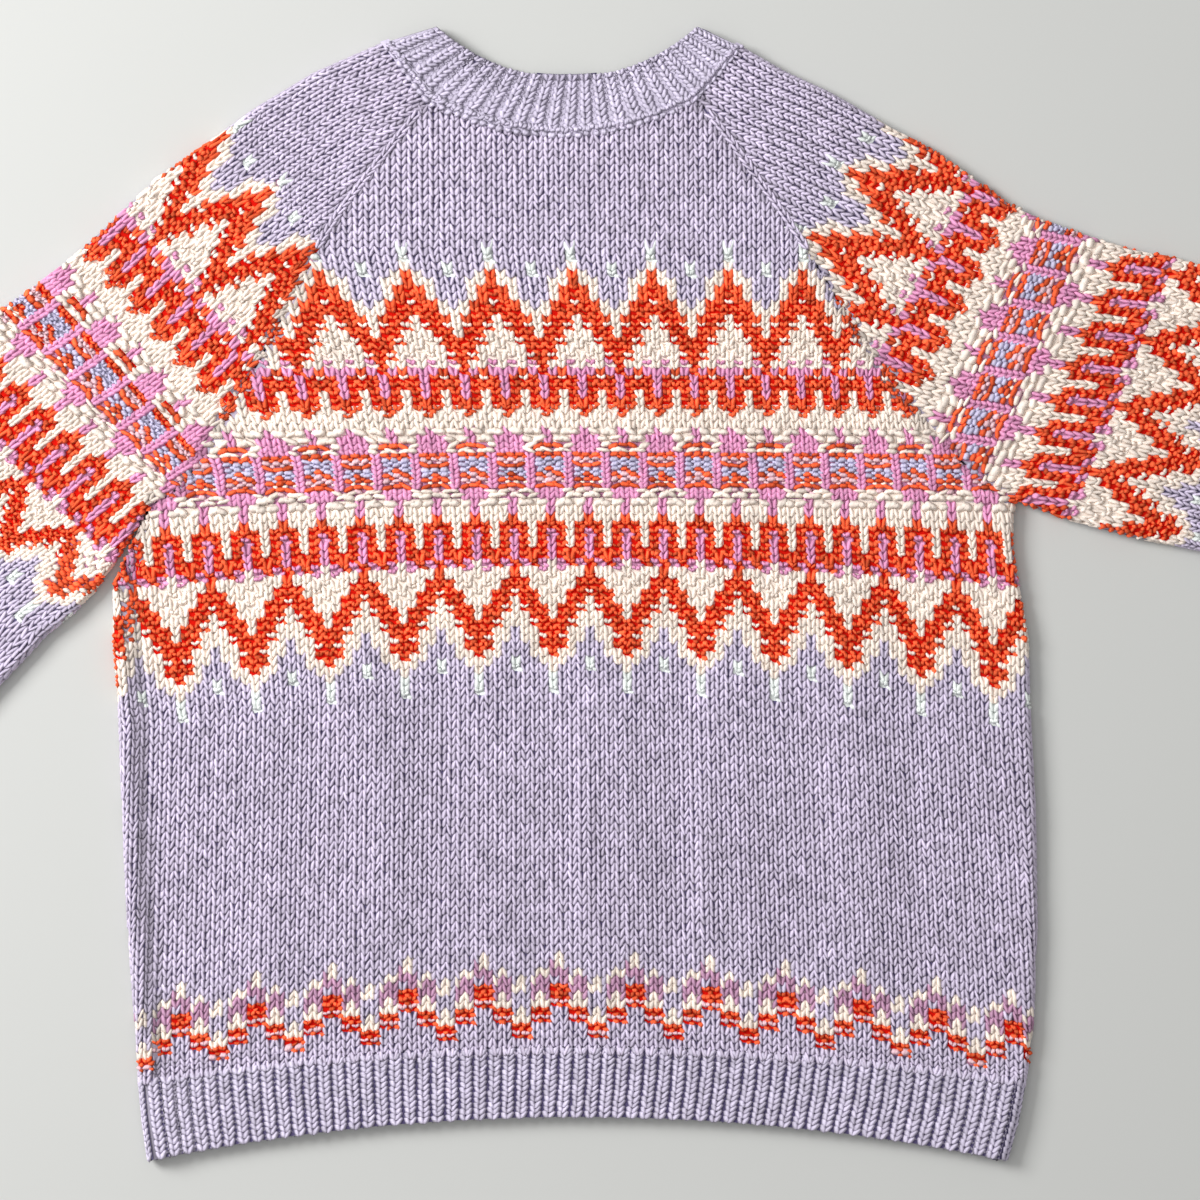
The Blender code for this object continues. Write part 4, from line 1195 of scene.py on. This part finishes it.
class JUMPER_OT_body(bpy.types.Operator):
    """Knit the back and the front"""

    bl_idname = "jumper.body"
    bl_label = "Back and front"

    def execute(self, context):
        form, strand, leg = shared()
        back = ground_cloth("back_panel")
        front = ground_cloth("front_panel")
        stitches = knit_back(form, strand)
        rows = back_rows()
        cells = [(*cell, 1.0, 1.0) for cell in back_cells(rows)]
        under = [knit_under(form, leg, name, "fair_isle_knit", BackPlaces(form, rows).plan, cells,
                            node, mirrored=True)
                 for name, node in (("front_stitches", "front_panel"),
                                    ("back_stitches_turned", "back_panel"))]
        declare_cloth(back, "back_panel")
        declare_cloth(front, "front_panel")
        return {"FINISHED"}


class JUMPER_OT_sleeves(bpy.types.Operator):
    """Knit both sleeves"""

    bl_idname = "jumper.sleeves"
    bl_label = "Sleeves"

    def execute(self, context):
        form, strand, leg = shared()
        left = SleevePlaces(form, LEFT_ROWS, LEFT_IN, LEFT_OUT, LEFT_COLUMNS)
        right = SleevePlaces(form, RIGHT_ROWS, RIGHT_IN, RIGHT_OUT, RIGHT_COLUMNS)
        for side, places in (("left", left), ("right", right)):
            last = SLEEVE_END[side]
            cloth = ground_cloth("sleeve_" + side)
            stitches = knit_sleeve(strand, "sleeve_stitches_" + side, places, last,
                                   mirrored=side == "right")
            cells = ((column, row, cell, 1.0, pitch)
                     for column, row, cell, pitch in sleeve_cells(last))
            under = knit_under(form, leg, "sleeve_under_" + side, "fair_isle_knit", places.plan,
                               cells, "sleeve_" + side, mirrored=side == "left")
            declare_cloth(cloth, "sleeve_" + side)
        return {"FINISHED"}


class JUMPER_OT_ribs(bpy.types.Operator):
    """Knit the ribs of the neck, the hem and the cuffs"""

    bl_idname = "jumper.ribs"
    bl_label = "Ribbed bands"

    def execute(self, context):
        form, strand, leg = shared()

        def under(name, plan, ribs, rows, node, mirrored=True):
            """Knit the underside of a ribbed band."""
            return knit_under(form, leg, name, "ribbed_knit", plan, rib_cells(ribs, rows), node,
                              mirrored)

        for side, table in (("left", LEFT_CUFF), ("right", RIGHT_CUFF)):
            node = "cuff_" + side
            place = cuff_place(form, table, CUFF_RIBS, CUFF_ROWS)
            part = Knitting(strand, mirrored=side == "left")
            knit_rib(part, place, range(CUFF_RIBS), CUFF_ROWS)
            stitches = [part.finish("cuff_stitches_" + side, "ribbed_knit"),
                        under("cuff_under_" + side, seen_from_above(place), range(CUFF_RIBS),
                              CUFF_ROWS, node, side == "right")]
            declare_cloth(ground_cloth(node), node)
        part = Knitting(strand)
        place = hem_place(form, HEM_RIBS, HEM_ROWS)
        ribs = range(-3, HEM_RIBS + 1)
        knit_rib(part, place, ribs, HEM_ROWS)
        stitches = part.finish("hem_stitches", "ribbed_knit")
        front, turned = [under(name, seen_from_above(place), ribs, HEM_ROWS, node)
                         for name, node in (("hem_under", "hem_rib_front"),
                                            ("hem_turned", "hem_rib_back"))]
        declare_cloth(ground_cloth("hem_rib_back"), "hem_rib_back")
        declare_cloth(ground_cloth("hem_rib_front"), "hem_rib_front")
        part = Knitting(strand)
        place = neck_place(form, NECK_RIBS, NECK_ROWS)
        knit_rib(part, place, range(NECK_RIBS), NECK_ROWS, NECK_SHARE, NECK_VALLEY)
        for step in range(2 * NECK_RIBS):
            part.stitch(place, step * 0.5 - 0.25, NECK_ROWS - 0.45, RIB_PURL, NECK_RIDGE_SHARE,
                        NECK_RIDGE, 2.0)
        stitches = [part.finish("neckband_stitches", "ribbed_knit"),
                    under("neckband_under", front_neck_plan(FRONT_NECK_RIBS, FRONT_NECK_ROWS),
                          range(FRONT_NECK_RIBS), FRONT_NECK_ROWS, "neckband")]
        declare_cloth(ground_cloth("neckband"), "neckband")
        return {"FINISHED"}


class JUMPER_PT_panel(bpy.types.Panel):
    """Lists the jumper's pieces and settings"""

    bl_idname = "JUMPER_PT_panel"
    bl_label = "Fair Isle Jumper"
    bl_space_type = "VIEW_3D"
    bl_region_type = "UI"
    bl_category = "Jumper"

    def draw(self, context):
        for operator in OPERATORS:
            self.layout.operator(operator.bl_idname)
        scene = context.scene
        for group in (scene.jumper_stitches, scene.jumper_yarns, scene.jumper_studio):
            box = self.layout.box()
            for name in group.__annotations__:
                box.prop(group, name)


OPERATORS = (JUMPER_OT_stage, JUMPER_OT_body, JUMPER_OT_sleeves, JUMPER_OT_ribs)
CLASSES = (StitchSizes, YarnColours, StudioLight, *OPERATORS, JUMPER_PT_panel)


def register():
    for item in CLASSES:
        bpy.utils.register_class(item)
    bpy.types.Scene.jumper_stitches = PointerProperty(type=StitchSizes)
    bpy.types.Scene.jumper_yarns = PointerProperty(type=YarnColours)
    bpy.types.Scene.jumper_studio = PointerProperty(type=StudioLight)


def unregister():
    del bpy.types.Scene.jumper_studio
    del bpy.types.Scene.jumper_yarns
    del bpy.types.Scene.jumper_stitches
    for item in reversed(CLASSES):
        bpy.utils.unregister_class(item)


def main():
    register()
    bpy.ops.jumper.stage()
    bpy.ops.jumper.body()
    bpy.ops.jumper.sleeves()
    bpy.ops.jumper.ribs()


if __name__ == "__main__":
    main()
